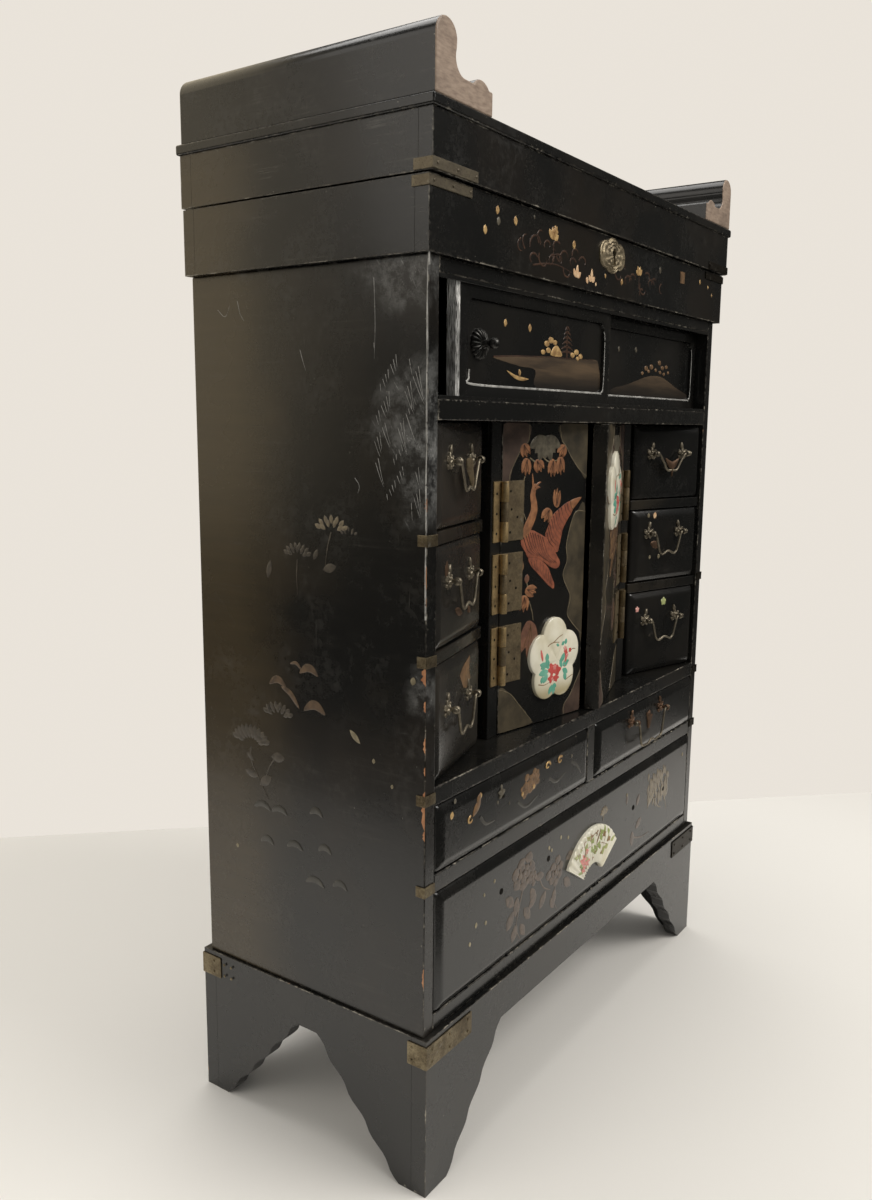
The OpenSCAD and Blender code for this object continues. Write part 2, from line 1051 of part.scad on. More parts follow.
module bail_right_low() {
    placed()
        mirror([1, 0, 0])
            small_bail(right_handle_u, right_handle_z[0]);
}

module bail_pair() {
    color("#8f7a4a")
        placed()
            translate([pair_handle[0], -proud, 0])
                bail(pair_span, pair_handle[1], pair_drop);
}

module case_floor() {
    shelf(base_h, floor_t);
}

module lower_shelf() {
    shelf(z_lower, shelf_t);
}

module middle_shelf() {
    shelf(z_middle, shelf_t);
}

module upper_shelf() {
    shelf(z_upper, shelf_t);
}

module case_top() {
    shelf(z_top, top_t);
}

base_frame();
case_side_left();
case_side_right();
back_panel();
case_floor();
lower_shelf();
drawer_upright();
middle_shelf();
upper_shelf();
case_top();
sliding_tracks();
cupboard_walls();
small_drawer_shelves();
corner_brasses();
tray_frame();
escutcheon();
lock_case();
lock_bolt();
lid_hinge_barrels();
lid_frame();
lid_board();
galleries();
lid_brasses();
lid_hinge_leaves();
sliding_frame_left();
sliding_panel_left();
rosette_knob();
sliding_frame_right();
sliding_panel_right();
door_hinge_barrels();
cupboard_door_left();
plaque_left();
hinge_leaves_left();
cupboard_door_right();
plaque_right();
hinge_leaves_right();
drawer_left_top();
drawer_left_mid();
drawer_left_low();
drawer_right_top();
drawer_right_mid();
drawer_right_low();
drawer_pair_left();
drawer_pair_right();
drawer_wide();
fan_plaque();
posts_left_top();
posts_left_mid();
posts_left_low();
posts_right_top();
posts_right_mid();
posts_right_low();
posts_pair();
bail_left_top();
bail_left_mid();
bail_left_low();
bail_right_top();
bail_right_mid();
bail_right_low();
bail_pair();
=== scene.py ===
"""Looks of the small lacquered table cabinet: lacquer, brass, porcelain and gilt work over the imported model.

Lengths are in millimetres until a mesh is made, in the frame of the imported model: X to the right,
Y to the back, Z up, the floor at zero.
"""

from __future__ import annotations

import logging
import math
from dataclasses import dataclass, field, replace
from enum import Enum
from typing import Callable, Iterable, Sequence

import bmesh
import bpy
import numpy as np
from mathutils import Matrix, Vector


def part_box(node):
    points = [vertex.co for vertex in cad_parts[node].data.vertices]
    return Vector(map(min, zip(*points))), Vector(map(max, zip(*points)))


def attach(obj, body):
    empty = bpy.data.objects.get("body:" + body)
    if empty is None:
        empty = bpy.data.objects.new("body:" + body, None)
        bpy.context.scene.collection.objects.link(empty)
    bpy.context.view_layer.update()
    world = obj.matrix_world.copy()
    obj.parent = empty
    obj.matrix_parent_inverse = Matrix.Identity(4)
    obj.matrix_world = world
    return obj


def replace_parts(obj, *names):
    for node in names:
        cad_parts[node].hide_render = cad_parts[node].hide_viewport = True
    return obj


LOG = logging.getLogger("cabinet")
Array = np.ndarray
Pair = tuple[float, float]
Triple = tuple[float, float, float]
Points = Sequence[Pair]
Colour = Triple
Material = bpy.types.Material

MM = 0.001  # a millimetre in the scene's own units
UP = np.array([0.0, 0.0, 1.0])
CASE_Y = -82.25  # front edge of the case's sides
SHEET = 0.8  # thickness of the sheet brass
SHARP = 42.0  # degrees from which an edge of a new piece stays sharp


# ---- surfaces


@dataclass
class Shell:
    """A bag of vertices and four-cornered faces, in millimetres."""

    verts: Array = field(default_factory=lambda: np.zeros((0, 3)))
    faces: Array = field(default_factory=lambda: np.zeros((0, 4), dtype=int))

    def add(self, other: "Shell") -> "Shell":
        """Adds another shell to this one and returns this one."""
        self.faces = np.vstack([self.faces, other.faces + len(self.verts)])
        self.verts = np.vstack([self.verts, other.verts])
        return self


def joined(parts: Iterable[Shell]) -> Shell:
    """Several shells as one."""
    shell = Shell()
    for part in parts:
        shell.add(part)
    return shell


def grid_shell(points: Array) -> Shell:
    """Joins a grid of points with four-cornered faces; the last column meets the first one again.

    Args:
        points: rows x columns x 3 array.

    Returns:
        The shell. Face (i, j) joins points (i, j), (i, j+1), (i+1, j+1), (i+1, j).
    """
    rows, cols = points.shape[:2]
    i, j = np.meshgrid(np.arange(rows - 1), np.arange(cols), indexing="ij")
    k = (j + 1) % cols
    quads = np.stack([i * cols + j, i * cols + k, (i + 1) * cols + k, (i + 1) * cols + j], axis=-1)
    return Shell(points.reshape(-1, 3), quads.reshape(-1, 4))


def sweep(path: Array, section: Array, side: Array, scale: Array | float = 1.0) -> Shell:
    """Carries a closed section along a path that lies in one plane.

    Point (i, j) = path[i] + scale[i] * (section[j, 0] * across[i] + section[j, 1] * side), where
    across is the unit vector square to both the path's tangent and side. Both ends are closed by a
    ring drawn together at the path's end.

    Args:
        path: n x 3 points.
        section: m x 2 outline.
        side: unit vector square to the path's plane.
        scale: one number, or one for each path point.

    Returns:
        The closed shell.
    """
    tangent = np.gradient(path, axis=0)
    tangent /= np.linalg.norm(tangent, axis=1, keepdims=True)
    across = np.cross(tangent, side)
    across /= np.linalg.norm(across, axis=1, keepdims=True)
    size = np.broadcast_to(np.asarray(scale, float), (len(path),))[:, None, None]
    ring = section[None, :, :1] * across[:, None, :] + section[None, :, 1:] * np.asarray(side)[None, None, :]
    body = path[:, None, :] + size * ring
    ends = [np.repeat(path[i][None, None, :], len(section), axis=1) for i in (0, -1)]
    return grid_shell(np.concatenate([ends[0], body, ends[1]], axis=0))


def capped(body: Array) -> Shell:
    """Closes both ends of a tube of rings, each by a ring drawn together at the end ring's mean."""
    ends = [np.repeat(body[i].mean(axis=0)[None, None], body.shape[1], axis=1) for i in (0, -1)]
    return grid_shell(np.concatenate([ends[0], body, ends[1]], axis=0))


def around(count: int) -> Array:
    """Angles of a full turn, evenly spaced, in radians."""
    return np.linspace(0.0, 2 * math.pi, count, endpoint=False)


def circle(radius: float, sides: int = 12) -> Array:
    """Points of a circle, anticlockwise."""
    turn = around(sides)
    return radius * np.stack([np.cos(turn), np.sin(turn)], axis=1)


@dataclass(frozen=True)
class Face:
    """A flat face that things lie on: origin, the direction across it, and the way out of it."""

    origin: Triple
    across: Triple

    @property
    def out(self) -> Array:
        """Unit vector out of the face: across x up."""
        return np.cross(np.array(self.across), UP)

    def at(self, u: Array, z: Array, h: Array) -> Array:
        """Points at u across the face, at height z and h in front of it."""
        u, z, h = np.broadcast_arrays(np.asarray(u, float), np.asarray(z, float), np.asarray(h, float))
        base = np.array(self.origin) * [1.0, 1.0, 0.0]
        return base + u[..., None] * np.array(self.across) + z[..., None] * UP + h[..., None] * self.out

    def proud(self, height: float) -> "Face":
        """The same face moved outwards."""
        return Face(tuple(np.array(self.origin) + self.out * height), self.across)


def turned(angle: float) -> Triple:
    """Unit vector at an angle, in degrees, from +X towards +Y."""
    a = math.radians(angle)
    return (math.cos(a), math.sin(a), 0.0)


FRONT = Face((0.0, CASE_Y - 2.0, 0.0), turned(0))
RAIL = Face((0.0, CASE_Y, 0.0), turned(0))
TRAY = Face((0.0, CASE_Y - 3.5, 0.0), turned(0))
LEFT_SIDE = Face((-191.0, 0.0, 0.0), turned(-90))
RIGHT_SIDE = Face((191.0, 0.0, 0.0), turned(90))
LEFT_PANEL = Face((0.0, CASE_Y + 4.2, 0.0), turned(0))
RIGHT_PANEL = Face((0.0, CASE_Y + 11.6, 0.0), turned(0))
LEFT_DOOR = Face((-84.296, CASE_Y + 22.456, 0.0), turned(-10))
RIGHT_DOOR = Face((83.904, CASE_Y + 22.358, 0.0), turned(18))
LEFT_SMALL = Face((-181.1, CASE_Y + 0.45, 0.0), turned(15.5))
RIGHT_SMALL = Face((181.1, CASE_Y + 0.45, 0.0), turned(-15.5))


def rounded(knots: Sequence[Array], steps: int) -> Array:
    """Catmull-Rom curve through points.

    Between two points it is the cubic that passes through both with the slope of the chord between
    their neighbours, taken at evenly spaced parameters.

    Args:
        knots: for every stretch the point before it, its two ends and the point after it.
        steps: points drawn to a stretch.

    Returns:
        The curve, without its last point.
    """
    t = np.linspace(0.0, 1.0, steps, endpoint=False)[None, :, None]
    a, b, c, d = (k[:, None] for k in knots)
    curve = 0.5 * (2 * b + (c - a) * t + (2 * a - 5 * b + 4 * c - d) * t**2 + (3 * b - a - 3 * c + d) * t**3)
    return curve.reshape(-1, 2)


def smooth_outline(points: Points, steps: int = 6) -> Array:
    """Rounds a closed outline by a Catmull-Rom curve through its points."""
    p = np.asarray(points, float)
    return rounded([np.roll(p, -k, 0) for k in (-1, 0, 1, 2)], steps)


def smooth_line(points: Points, steps: int = 6) -> Array:
    """Rounds an open line by the same curve, with its first and last stretches carried on straight."""
    p = np.asarray(points, float)
    q = np.vstack([2 * p[0] - p[1], p, 2 * p[-1] - p[-2]])
    return np.vstack([rounded((q[:-3], q[1:-2], q[2:-1], q[3:]), steps), p[-1]])


Lift = Callable[[Array, Array], Array]


def flat_lift(u: Array, z: Array) -> Array:
    """Height of a flat face above itself: nothing."""
    return np.zeros_like(u)


def plate(face: Face, outline: Array, rim: float, crown: float, lift: Lift = flat_lift) -> Shell:
    """A thin plate on a face, thicker in the middle.

    Ring k of the outline is drawn towards its mean by rho; the height is the rim's at the edge and
    rises to the crown as the square root of 1 - rho squared. The underside is closed flat.

    Args:
        face: what it lies on.
        outline: n x 2 points (u, z), anticlockwise seen from the front.
        rim: height of the edge.
        crown: height of the middle.
        lift: height of the ground under the plate.

    Returns:
        The closed shell.
    """
    mid = outline.mean(axis=0)
    rho = np.array([0.0, 1.0, 1.0, 0.94, 0.8, 0.6, 0.35, 0.0])
    top = rim + (crown - rim) * np.sqrt(np.clip(1 - rho**2, 0, 1))
    height = np.where(np.arange(len(rho)) < 2, 0.0, top)
    p = mid + rho[:, None, None] * (outline - mid)[None]
    h = height[:, None] + lift(p[..., 0], p[..., 1])
    return grid_shell(face.at(p[..., 0], p[..., 1], h))


def line_on(face: Face, points: Points, width: float, height: float, lift: Lift = flat_lift,
            taper: float = 0.7, belly: bool = False) -> Shell:
    """A raised line drawn along points on a face.

    The half width at share t of its length is width/2 * (1 - taper * t squared), or with a belly
    width/2 * sin(pi t) to the power 0.6; the section is a low hump with its underside on the face.
    """
    line = smooth_line(points)
    t = np.linspace(0, 1, len(line))
    tangent = np.gradient(line, axis=0)
    tangent /= np.linalg.norm(tangent, axis=1, keepdims=True) + 1e-9
    normal = np.stack([-tangent[:, 1], tangent[:, 0]], axis=1)
    half = 0.5 * width * (np.sin(math.pi * t) ** 0.6 if belly else 1 - taper * t**2)
    across = np.array([-1.0, -0.6, 0.6, 1.0, 0.5, -0.5])
    up = np.array([0.4, 1.0, 1.0, 0.4, 0.0, 0.0])
    p = line[:, None, :] + (half[:, None] * across[None, :])[..., None] * normal[:, None, :]
    h = height * up[None, :] + lift(p[..., 0], p[..., 1])
    return capped(face.at(p[..., 0], p[..., 1], h))


def leaf_outline(at: Pair, length: float, width: float, angle: float, n: int = 18) -> Array:
    """Outline of a pointed leaf: half width = width/2 * sin(pi t) ** 0.8 at share t of its length."""
    t = np.linspace(0, 1, n // 2 + 1)
    half = 0.5 * width * np.sin(math.pi * t) ** 0.8
    x = np.concatenate([t * length, t[-2:0:-1] * length])
    y = np.concatenate([-half, half[-2:0:-1]])
    a = math.radians(angle)
    return np.stack([at[0] + x * math.cos(a) - y * math.sin(a), at[1] + x * math.sin(a) + y * math.cos(a)],
        axis=1)


def petal_outline(at: Pair, radius: float, lobes: int, depth: float, turn: float = 90.0,
        n: int = 48) -> Array:
    """Outline of a round flower: r = radius * (1 - depth/2 + depth/2 * cos(lobes * angle))."""
    a = around(n)
    r = radius * (1 - 0.5 * depth + 0.5 * depth * np.cos(lobes * a))
    w = a + math.radians(turn)
    return np.stack([at[0] + r * np.cos(w), at[1] + r * np.sin(w)], axis=1)


def make_piece(name: str, shell: Shell, material: Material, body: str, smooth: bool = True,
        bevel: float = 0.0) -> bpy.types.Object:
    """Makes a mesh object of a shell, merges its doubles, turns its faces out and puts it on a body.

    Args:
        name: name of the piece.
        shell: its surface, in millimetres.
        material: its finish.
        body: body that it rides on.
        smooth: smooth shading with sharp edges kept.
        bevel: width of a bevel on its edges, in millimetres; none at 0.

    Returns:
        The object.
    """
    mesh = bpy.data.meshes.new(name)
    mesh.from_pydata((shell.verts * MM).tolist(), [], shell.faces.tolist())
    work = bmesh.new()
    work.from_mesh(mesh)
    bmesh.ops.remove_doubles(work, verts=work.verts, dist=1e-6)
    bmesh.ops.dissolve_degenerate(work, edges=work.edges, dist=1e-7)
    bmesh.ops.recalc_face_normals(work, faces=work.faces)
    work.to_mesh(mesh)
    work.free()
    mesh.materials.append(material)
    piece = bpy.data.objects.new(name, mesh)
    bpy.context.scene.collection.objects.link(piece)
    if smooth:
        mesh.shade_smooth()
        mesh.set_sharp_from_angle(angle=math.radians(SHARP))
    if bevel > 0:
        add_bevel(piece, bevel)
    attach(piece, body)
    LOG.info("%s: %d faces on %s", name, len(mesh.polygons), body)
    return piece


def add_bevel(piece: bpy.types.Object, width: float, loose: bool = False) -> None:
    """Rounds the sharp edges of a piece.

    Args:
        piece: the mesh object.
        width: how far the rounding reaches, in millimetres.
        loose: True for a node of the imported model, whose flat sides are joined up first.
    """
    if loose:
        piece.modifiers.new("joined_sides", "WELD").merge_threshold = 0.01 * MM
        flat = piece.modifiers.new("whole_sides", "DECIMATE")
        flat.decimate_type = "DISSOLVE"
        flat.angle_limit = math.radians(0.5)
    soft = piece.modifiers.new("soft_edges", "BEVEL")
    soft.width = width * MM
    soft.segments = 3 if loose else 2
    soft.limit_method = "ANGLE"
    soft.angle_limit = math.radians(12 if loose else 35)
    soft.harden_normals = loose
    soft.use_clamp_overlap = True


# ---- shader expressions


def maths(kind: str, swapped: bool = False) -> Callable[..., "Val"]:
    """Makes a method of Val that adds one Math node.

    Args:
        kind: the node's operation.
        swapped: True where the value itself comes second.

    Returns:
        The method.
    """

    def method(self: "Val", *others: "Val | float") -> "Val":
        """Puts the value, and the other one if there is one, through the node."""
        args = (*others, self) if swapped else (self, *others)
        return self.graph.node("ShaderNodeMath", {"operation": kind}, dict(enumerate(args)))

    return method


class Val:
    """A shader socket; using it in an expression adds Math nodes."""

    def __init__(self, graph: "Graph", socket: bpy.types.NodeSocket) -> None:
        """Wraps a socket of a graph."""
        self.graph = graph
        self.socket = socket

    __add__, __radd__ = maths("ADD"), maths("ADD", swapped=True)
    __sub__, __rsub__ = maths("SUBTRACT"), maths("SUBTRACT", swapped=True)
    __mul__, __rmul__ = maths("MULTIPLY"), maths("MULTIPLY", swapped=True)
    low, high, size = maths("MINIMUM"), maths("MAXIMUM"), maths("ABSOLUTE")

    def step(self, start: float, end: float) -> "Val":
        """A smooth ramp from 0 at start to 1 at end, flat beyond."""
        return self.graph.node("ShaderNodeMapRange", {"interpolation_type": "SMOOTHSTEP"},
            {0: self, 1: start, 2: end})


class Graph:
    """One procedural material under construction, on a Principled shader, or the room's."""

    def __init__(self, owner: Material | bpy.types.World) -> None:
        """Opens the nodes of a material or a world."""
        self.owner = owner
        owner.use_nodes = True
        self.tree = owner.node_tree
        self.shader = next((n for n in self.tree.nodes if n.type == "BSDF_PRINCIPLED"), None)
        self._here: Val | None = None

    @staticmethod
    def material(name: str) -> "Graph":
        """Starts a new material."""
        return Graph(bpy.data.materials.new(name))

    def node(self, kind: str, settings: dict | None = None, inputs: dict | None = None,
             out: int | str = 0) -> Val:
        """Adds a node.

        Args:
            kind: Blender's node type.
            settings: properties, set first.
            inputs: socket name or index to a value, colour or Val.
            out: output socket.

        Returns:
            The output, wrapped.
        """
        made = self.tree.nodes.new(kind)
        for key, value in (settings or {}).items():
            setattr(made, key, value)
        for key, value in (inputs or {}).items():
            self.put(made.inputs[key], value)
        return Val(self, made.outputs[out])

    def put(self, socket: bpy.types.NodeSocket, value: object) -> None:
        """Links or sets one input socket."""
        if isinstance(value, Val):
            self.tree.links.new(value.socket, socket)
        elif isinstance(value, tuple) and len(value) == 3 and socket.type == "RGBA":
            socket.default_value = (*value, 1.0)
        else:
            socket.default_value = value

    @property
    def here(self) -> Val:
        """Object coordinates in millimetres."""
        if self._here is None:
            raw = self.node("ShaderNodeTexCoord", out="Object")
            self._here = self.vector("MULTIPLY", raw, (1 / MM, 1 / MM, 1 / MM))
        return self._here

    def vector(self, kind: str, *args: Val | Triple, out: int | str = 0) -> Val:
        """Adds one Vector Math node."""
        return self.node("ShaderNodeVectorMath", {"operation": kind}, dict(enumerate(args)), out)

    def axes(self) -> tuple[Val, Val, Val]:
        """The three object coordinates, in millimetres."""
        split = self.tree.nodes.new("ShaderNodeSeparateXYZ")
        self.tree.links.new(self.here.socket, split.inputs[0])
        return tuple(Val(self, split.outputs[i]) for i in range(3))

    def stretched(self, x: float, y: float, z: float) -> Val:
        """Object coordinates multiplied by a number on each axis."""
        return self.vector("MULTIPLY", self.here, (x, y, z))

    def noise(self, size: float, detail: float = 3.0, rough: float = 0.55, seed: float = 0.0,
              where: Val | None = None) -> Val:
        """Noise from 0 to 1 with features of about size millimetres."""
        return self.node("ShaderNodeTexNoise", {"noise_dimensions": "4D"},
            {"Vector": where or self.here, "W": seed, "Scale": 1.0 / size,
             "Detail": detail, "Roughness": rough})

    def mix(self, share: Val | float, first: Val | Colour, second: Val | Colour) -> Val:
        """Blends two colours."""
        made = self.tree.nodes.new("ShaderNodeMix")
        made.data_type = "RGBA"
        for index, value in ((0, share), (6, first), (7, second)):
            self.put(made.inputs[index], value)
        return Val(self, made.outputs[2])

    def bump(self, height: Val, distance: float, strength: float = 1.0) -> None:
        """Feeds a height, in units of distance millimetres, to the shader's normal."""
        normal = self.node("ShaderNodeBump", {},
            {"Height": height, "Distance": distance * MM, "Strength": strength})
        self.put(self.shader.inputs["Normal"], normal)

    def finish(self, **sockets: Val | float | Colour) -> Material:
        """Sets the shader's sockets, with _ for a space in their names, and returns the material."""
        for key, value in sockets.items():
            self.put(self.shader.inputs[key.replace("_", " ")], value)
        return self.owner


def node_box(name: str) -> tuple[Array, Array]:
    """Lowest and highest corners of a node, in millimetres."""
    low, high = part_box(name)
    return np.array(low) / MM, np.array(high) / MM


@dataclass(frozen=True)
class Board:
    """Where a board lies: low and high distances across a face, behind it and up."""

    face: Face
    low: Triple
    high: Triple

    @staticmethod
    def of(node: str) -> "Board":
        """A node's box as a board, measured along the axes of the model."""
        low, high = node_box(node)
        return Board(Face((0.0, 0.0, 0.0), turned(0)), tuple(low), tuple(high))

    def axes(self, g: Graph) -> tuple[Val, Val, Val]:
        """Distance across the face, behind it and up."""
        x, y, z = g.axes()
        ox, oy = self.face.origin[:2]
        ax, ay = self.face.across[:2]
        out = self.face.out
        across = (x - ox) * float(ax) + (y - oy) * float(ay)
        behind = (x - ox) * float(-out[0]) + (y - oy) * float(-out[1])
        return across, behind, z

    def edge(self, g: Graph) -> Val:
        """Distance from the nearest edge, on the surface: the second smallest of three face distances."""
        a, b, c = ((v - lo).size().low((hi - v).size()) for v, lo,
                   hi in zip(self.axes(g), self.low, self.high))
        return a.low(b).high(a.high(b).low(c))


# ---- finishes


@dataclass(frozen=True)
class Lacquer:
    """Old black lacquer over wood: thin spots, fine scratches, dust, worn edges and chips, and brown streaks
    towards the back that are a painted warm reflection.
    """

    ground: Colour = (0.0055, 0.0056, 0.0052)
    thin: Colour = (0.012, 0.0105, 0.0085)
    dust: float = 0.35
    wear: float = 1.0
    chips: float = 0.0
    roughness: float = 0.27
    raw: Colour = (0.32, 0.13, 0.05)
    scuffs: tuple[tuple[float, float, float, float], ...] = ()
    # Painted warm reflection: the range behind the front over which brown streaks come in; None for none.
    brown: Pair | None = None
    brushed: float = 0.0
    seed: float = 0.0

    def colour(self, g: Graph, board: Board | None) -> tuple[Val, Val, Val]:
        """Builds colour, roughness and bump height.

        Args:
            g: the material.
            board: the board that it covers, for its edges; None for no worn edges.

        Returns:
            Colour, roughness, height.
        """
        cloud = g.noise(70, 3, 0.55, self.seed)
        colour = g.mix(cloud.step(0.4, 0.72), self.ground, self.thin)
        scratch = g.noise(0.9, 2, 0.5, self.seed + 3, g.stretched(1, 1, 0.045)).step(0.67, 0.78)
        cross = g.noise(1.1, 2, 0.5, self.seed + 5, g.stretched(0.06, 0.06, 1)).step(0.7, 0.8)
        patch = g.noise(38, 4, 0.65, self.seed + 9).step(0.46, 0.7)
        lines = (scratch + cross * 0.6) * patch * self.dust
        colour = g.mix((lines * 0.4).low(1.0), colour, (0.16, 0.15, 0.13))
        # Painted warm reflection: brown streaks that grow towards the back of the board.
        if self.brown is not None:
            streak = g.noise(5, 5, 0.7, self.seed + 23, g.stretched(1, 0.08, 1))
            share = (g.axes()[1] + (cloud - 0.5) * 50).step(*self.brown) * (0.55 + streak * 0.6)
            colour = g.mix(share.low(1.0), colour, (0.05, 0.036, 0.017))
        if self.brushed > 0:
            hair = g.noise(1.5, 5, 0.75, self.seed + 27, g.stretched(1, 0.035, 1)).step(0.5, 0.72)
            colour = g.mix((hair * g.noise(30, 5, 0.7, self.seed + 29).step(0.4,
                0.66) * self.brushed).low(1.0), colour, (0.06, 0.055, 0.046))
        haze = patch * g.noise(4, 5, 0.7, self.seed + 2).step(0.42, 0.72) * self.dust
        colour = g.mix(haze * 0.12, colour, (0.2, 0.19, 0.17))
        specks = g.noise(1.8, 3, 0.6, self.seed + 7).step(0.72, 0.76) * (patch * 0.8 + 0.2)
        colour = g.mix((specks * self.dust).low(0.9), colour, (0.4, 0.38, 0.32))
        rough = self.roughness + haze * 0.22 + lines * 0.15 + (cloud - 0.5) * 0.12
        for x, y, z, reach in self.scuffs:
            gap = g.vector("DISTANCE", g.here, (x, y, z), out="Value")
            near = (gap + (g.noise(26, 4, 0.65, self.seed + 31) - 0.5) * reach * 1.6).step(reach,
                reach * 0.25)
            slant = g.node("ShaderNodeVectorRotate", {"rotation_type": "X_AXIS"},
                {"Vector": g.here, "Angle": 0.6})
            slant = g.vector("MULTIPLY", slant, (1.0, 1.0, 0.12))
            rub = g.noise(1.3, 3, 0.6, self.seed + 33, slant).step(0.6, 0.72)
            fog = g.noise(16, 7, 0.8, self.seed + 35).step(0.42, 0.62)
            fleck = g.noise(2.2, 5, 0.8, self.seed + 37).step(0.62, 0.7)
            colour = g.mix((near * fog * (0.22 + rub * 0.6 + fleck * 0.9)).low(0.95), colour,
                (0.42, 0.42, 0.4))
            rough = rough + near * 0.1
        height = g.noise(2.2, 3, 0.6, self.seed + 11) * 0.35 + cloud * 0.4 - lines * 0.15
        if board is not None:
            edge = board.edge(g)
            ragged = g.noise(3.2, 4, 0.65, self.seed + 13)
            rub = (edge + (ragged - 0.5) * 5.5).step(0.9, -0.5) * (0.6 * self.wear)
            colour = g.mix(rub.low(0.85), colour, (0.055, 0.047, 0.036))
            pale = (edge + (ragged - 0.5) * 2.6).step(0.5, 0.0) * g.noise(17, 4, 0.7,
                self.seed + 15).step(0.46, 0.62)
            nick = (edge + (ragged - 0.5) * 9).step(2.5, 0.5) * g.noise(1.5, 2, 0.5, self.seed + 19).step(0.7,
                0.74)
            colour = g.mix((pale.high(nick) * (0.75 * self.wear)).low(0.85), colour, (0.33, 0.3, 0.24))
            rough = rough + rub * 0.25
            height = height - rub * 0.5
            if self.chips > 0:
                big = g.noise(12, 3, 0.6, self.seed + 17)
                bare = (edge - (big - 0.8 + 0.14 * self.chips) * 26 + (ragged - 0.5) * 3).step(0.5, -0.5)
                wood = g.mix(g.noise(1.2, 3, 0.6, 4.0, g.stretched(1, 1, 0.2)), self.raw, (0.5, 0.32, 0.18))
                colour = g.mix(bare, colour, wood)
                rough = rough + bare * 0.4
                height = height - bare * 1.2
        return colour, rough, height

    def make(self, name: str, board: Board | None = None) -> Material:
        """Makes the material."""
        g = Graph.material(name)
        colour, rough, height = self.colour(g, board)
        colour, rough, height = self.bare(g, board, colour, rough, height)
        g.bump(height, 0.25, 0.5)
        return g.finish(Base_Color=colour, Roughness=rough.low(0.85), Coat_Weight=0.25, Coat_Roughness=0.12)

    def bare(self, g: Graph, board: Board | None, colour: Val, rough: Val, height: Val) -> tuple[Val, Val,
            Val]:
        """What shows where there is no lacquer; nothing on an all-over lacquered board."""
        return colour, rough, height


@dataclass(frozen=True)
class PartLacquer(Lacquer):
    """Black lacquer up to a line across the board, and bare wood beyond it.

    axis is 0 across, 1 behind and 2 up; sign 1 leaves the wood bare above the line, -1 below it.
    """

    axis: int = 1
    line: float = 9.0
    sign: int = 1
    ragged: float = 0.0
    light: Colour = (0.3, 0.19, 0.1)
    dark: Colour = (0.17, 0.095, 0.045)
    grain: Triple = (1.0, 0.06, 1.0)
    soft: float = 0.25

    def bare(self, g: Graph, board: Board | None, colour: Val, rough: Val, height: Val) -> tuple[Val, Val,
            Val]:
        """Blends to the wood past the line."""
        place = board.axes(g)[self.axis]
        edge = g.noise(2.5, 4, 0.6, self.seed + 21, g.stretched(*self.grain)) - 0.5
        share = ((place - self.line) * self.sign + edge * self.ragged).step(-0.1, 0.1)
        grain = g.noise(1.6, 4, 0.6, 2.0, g.stretched(*self.grain))
        wood = g.mix(grain.step(0.5 - self.soft, 0.5 + self.soft), self.dark, self.light)
        wood = g.mix(g.noise(30, 3, 0.6, 8.0).step(0.45, 0.8), wood, tuple(0.55 * v for v in self.dark))
        return g.mix(share, colour, wood), rough + share * 0.35, height + grain * share * 0.6


@dataclass(frozen=True)
class Wood:
    """Bare or thinly stained wood with grain along one axis."""

    light: Colour = (0.26, 0.16, 0.09)
    dark: Colour = (0.12, 0.07, 0.04)
    along: Triple = (0.06, 1.0, 1.0)
    roughness: float = 0.62
    seed: float = 0.0

    def make(self, name: str) -> Material:
        """Makes the material: stretched noise for grain, broad noise for stains."""
        g = Graph.material(name)
        grain = g.noise(1.8, 4, 0.6, self.seed, g.stretched(*self.along))
        band = g.noise(9, 2, 0.5, self.seed + 1, g.stretched(*self.along))
        stain = g.noise(45, 4, 0.6, self.seed + 2)
        colour = g.mix((grain * 0.6 + band * 0.5).low(1.0), self.dark, self.light)
        colour = g.mix(stain.step(0.45, 0.8) * 0.55, colour, (0.05, 0.035, 0.024))
        g.bump(grain, 0.3, 0.5)
        return g.finish(Base_Color=colour, Roughness=(stain * 0.2 + self.roughness - 0.1).low(0.9))


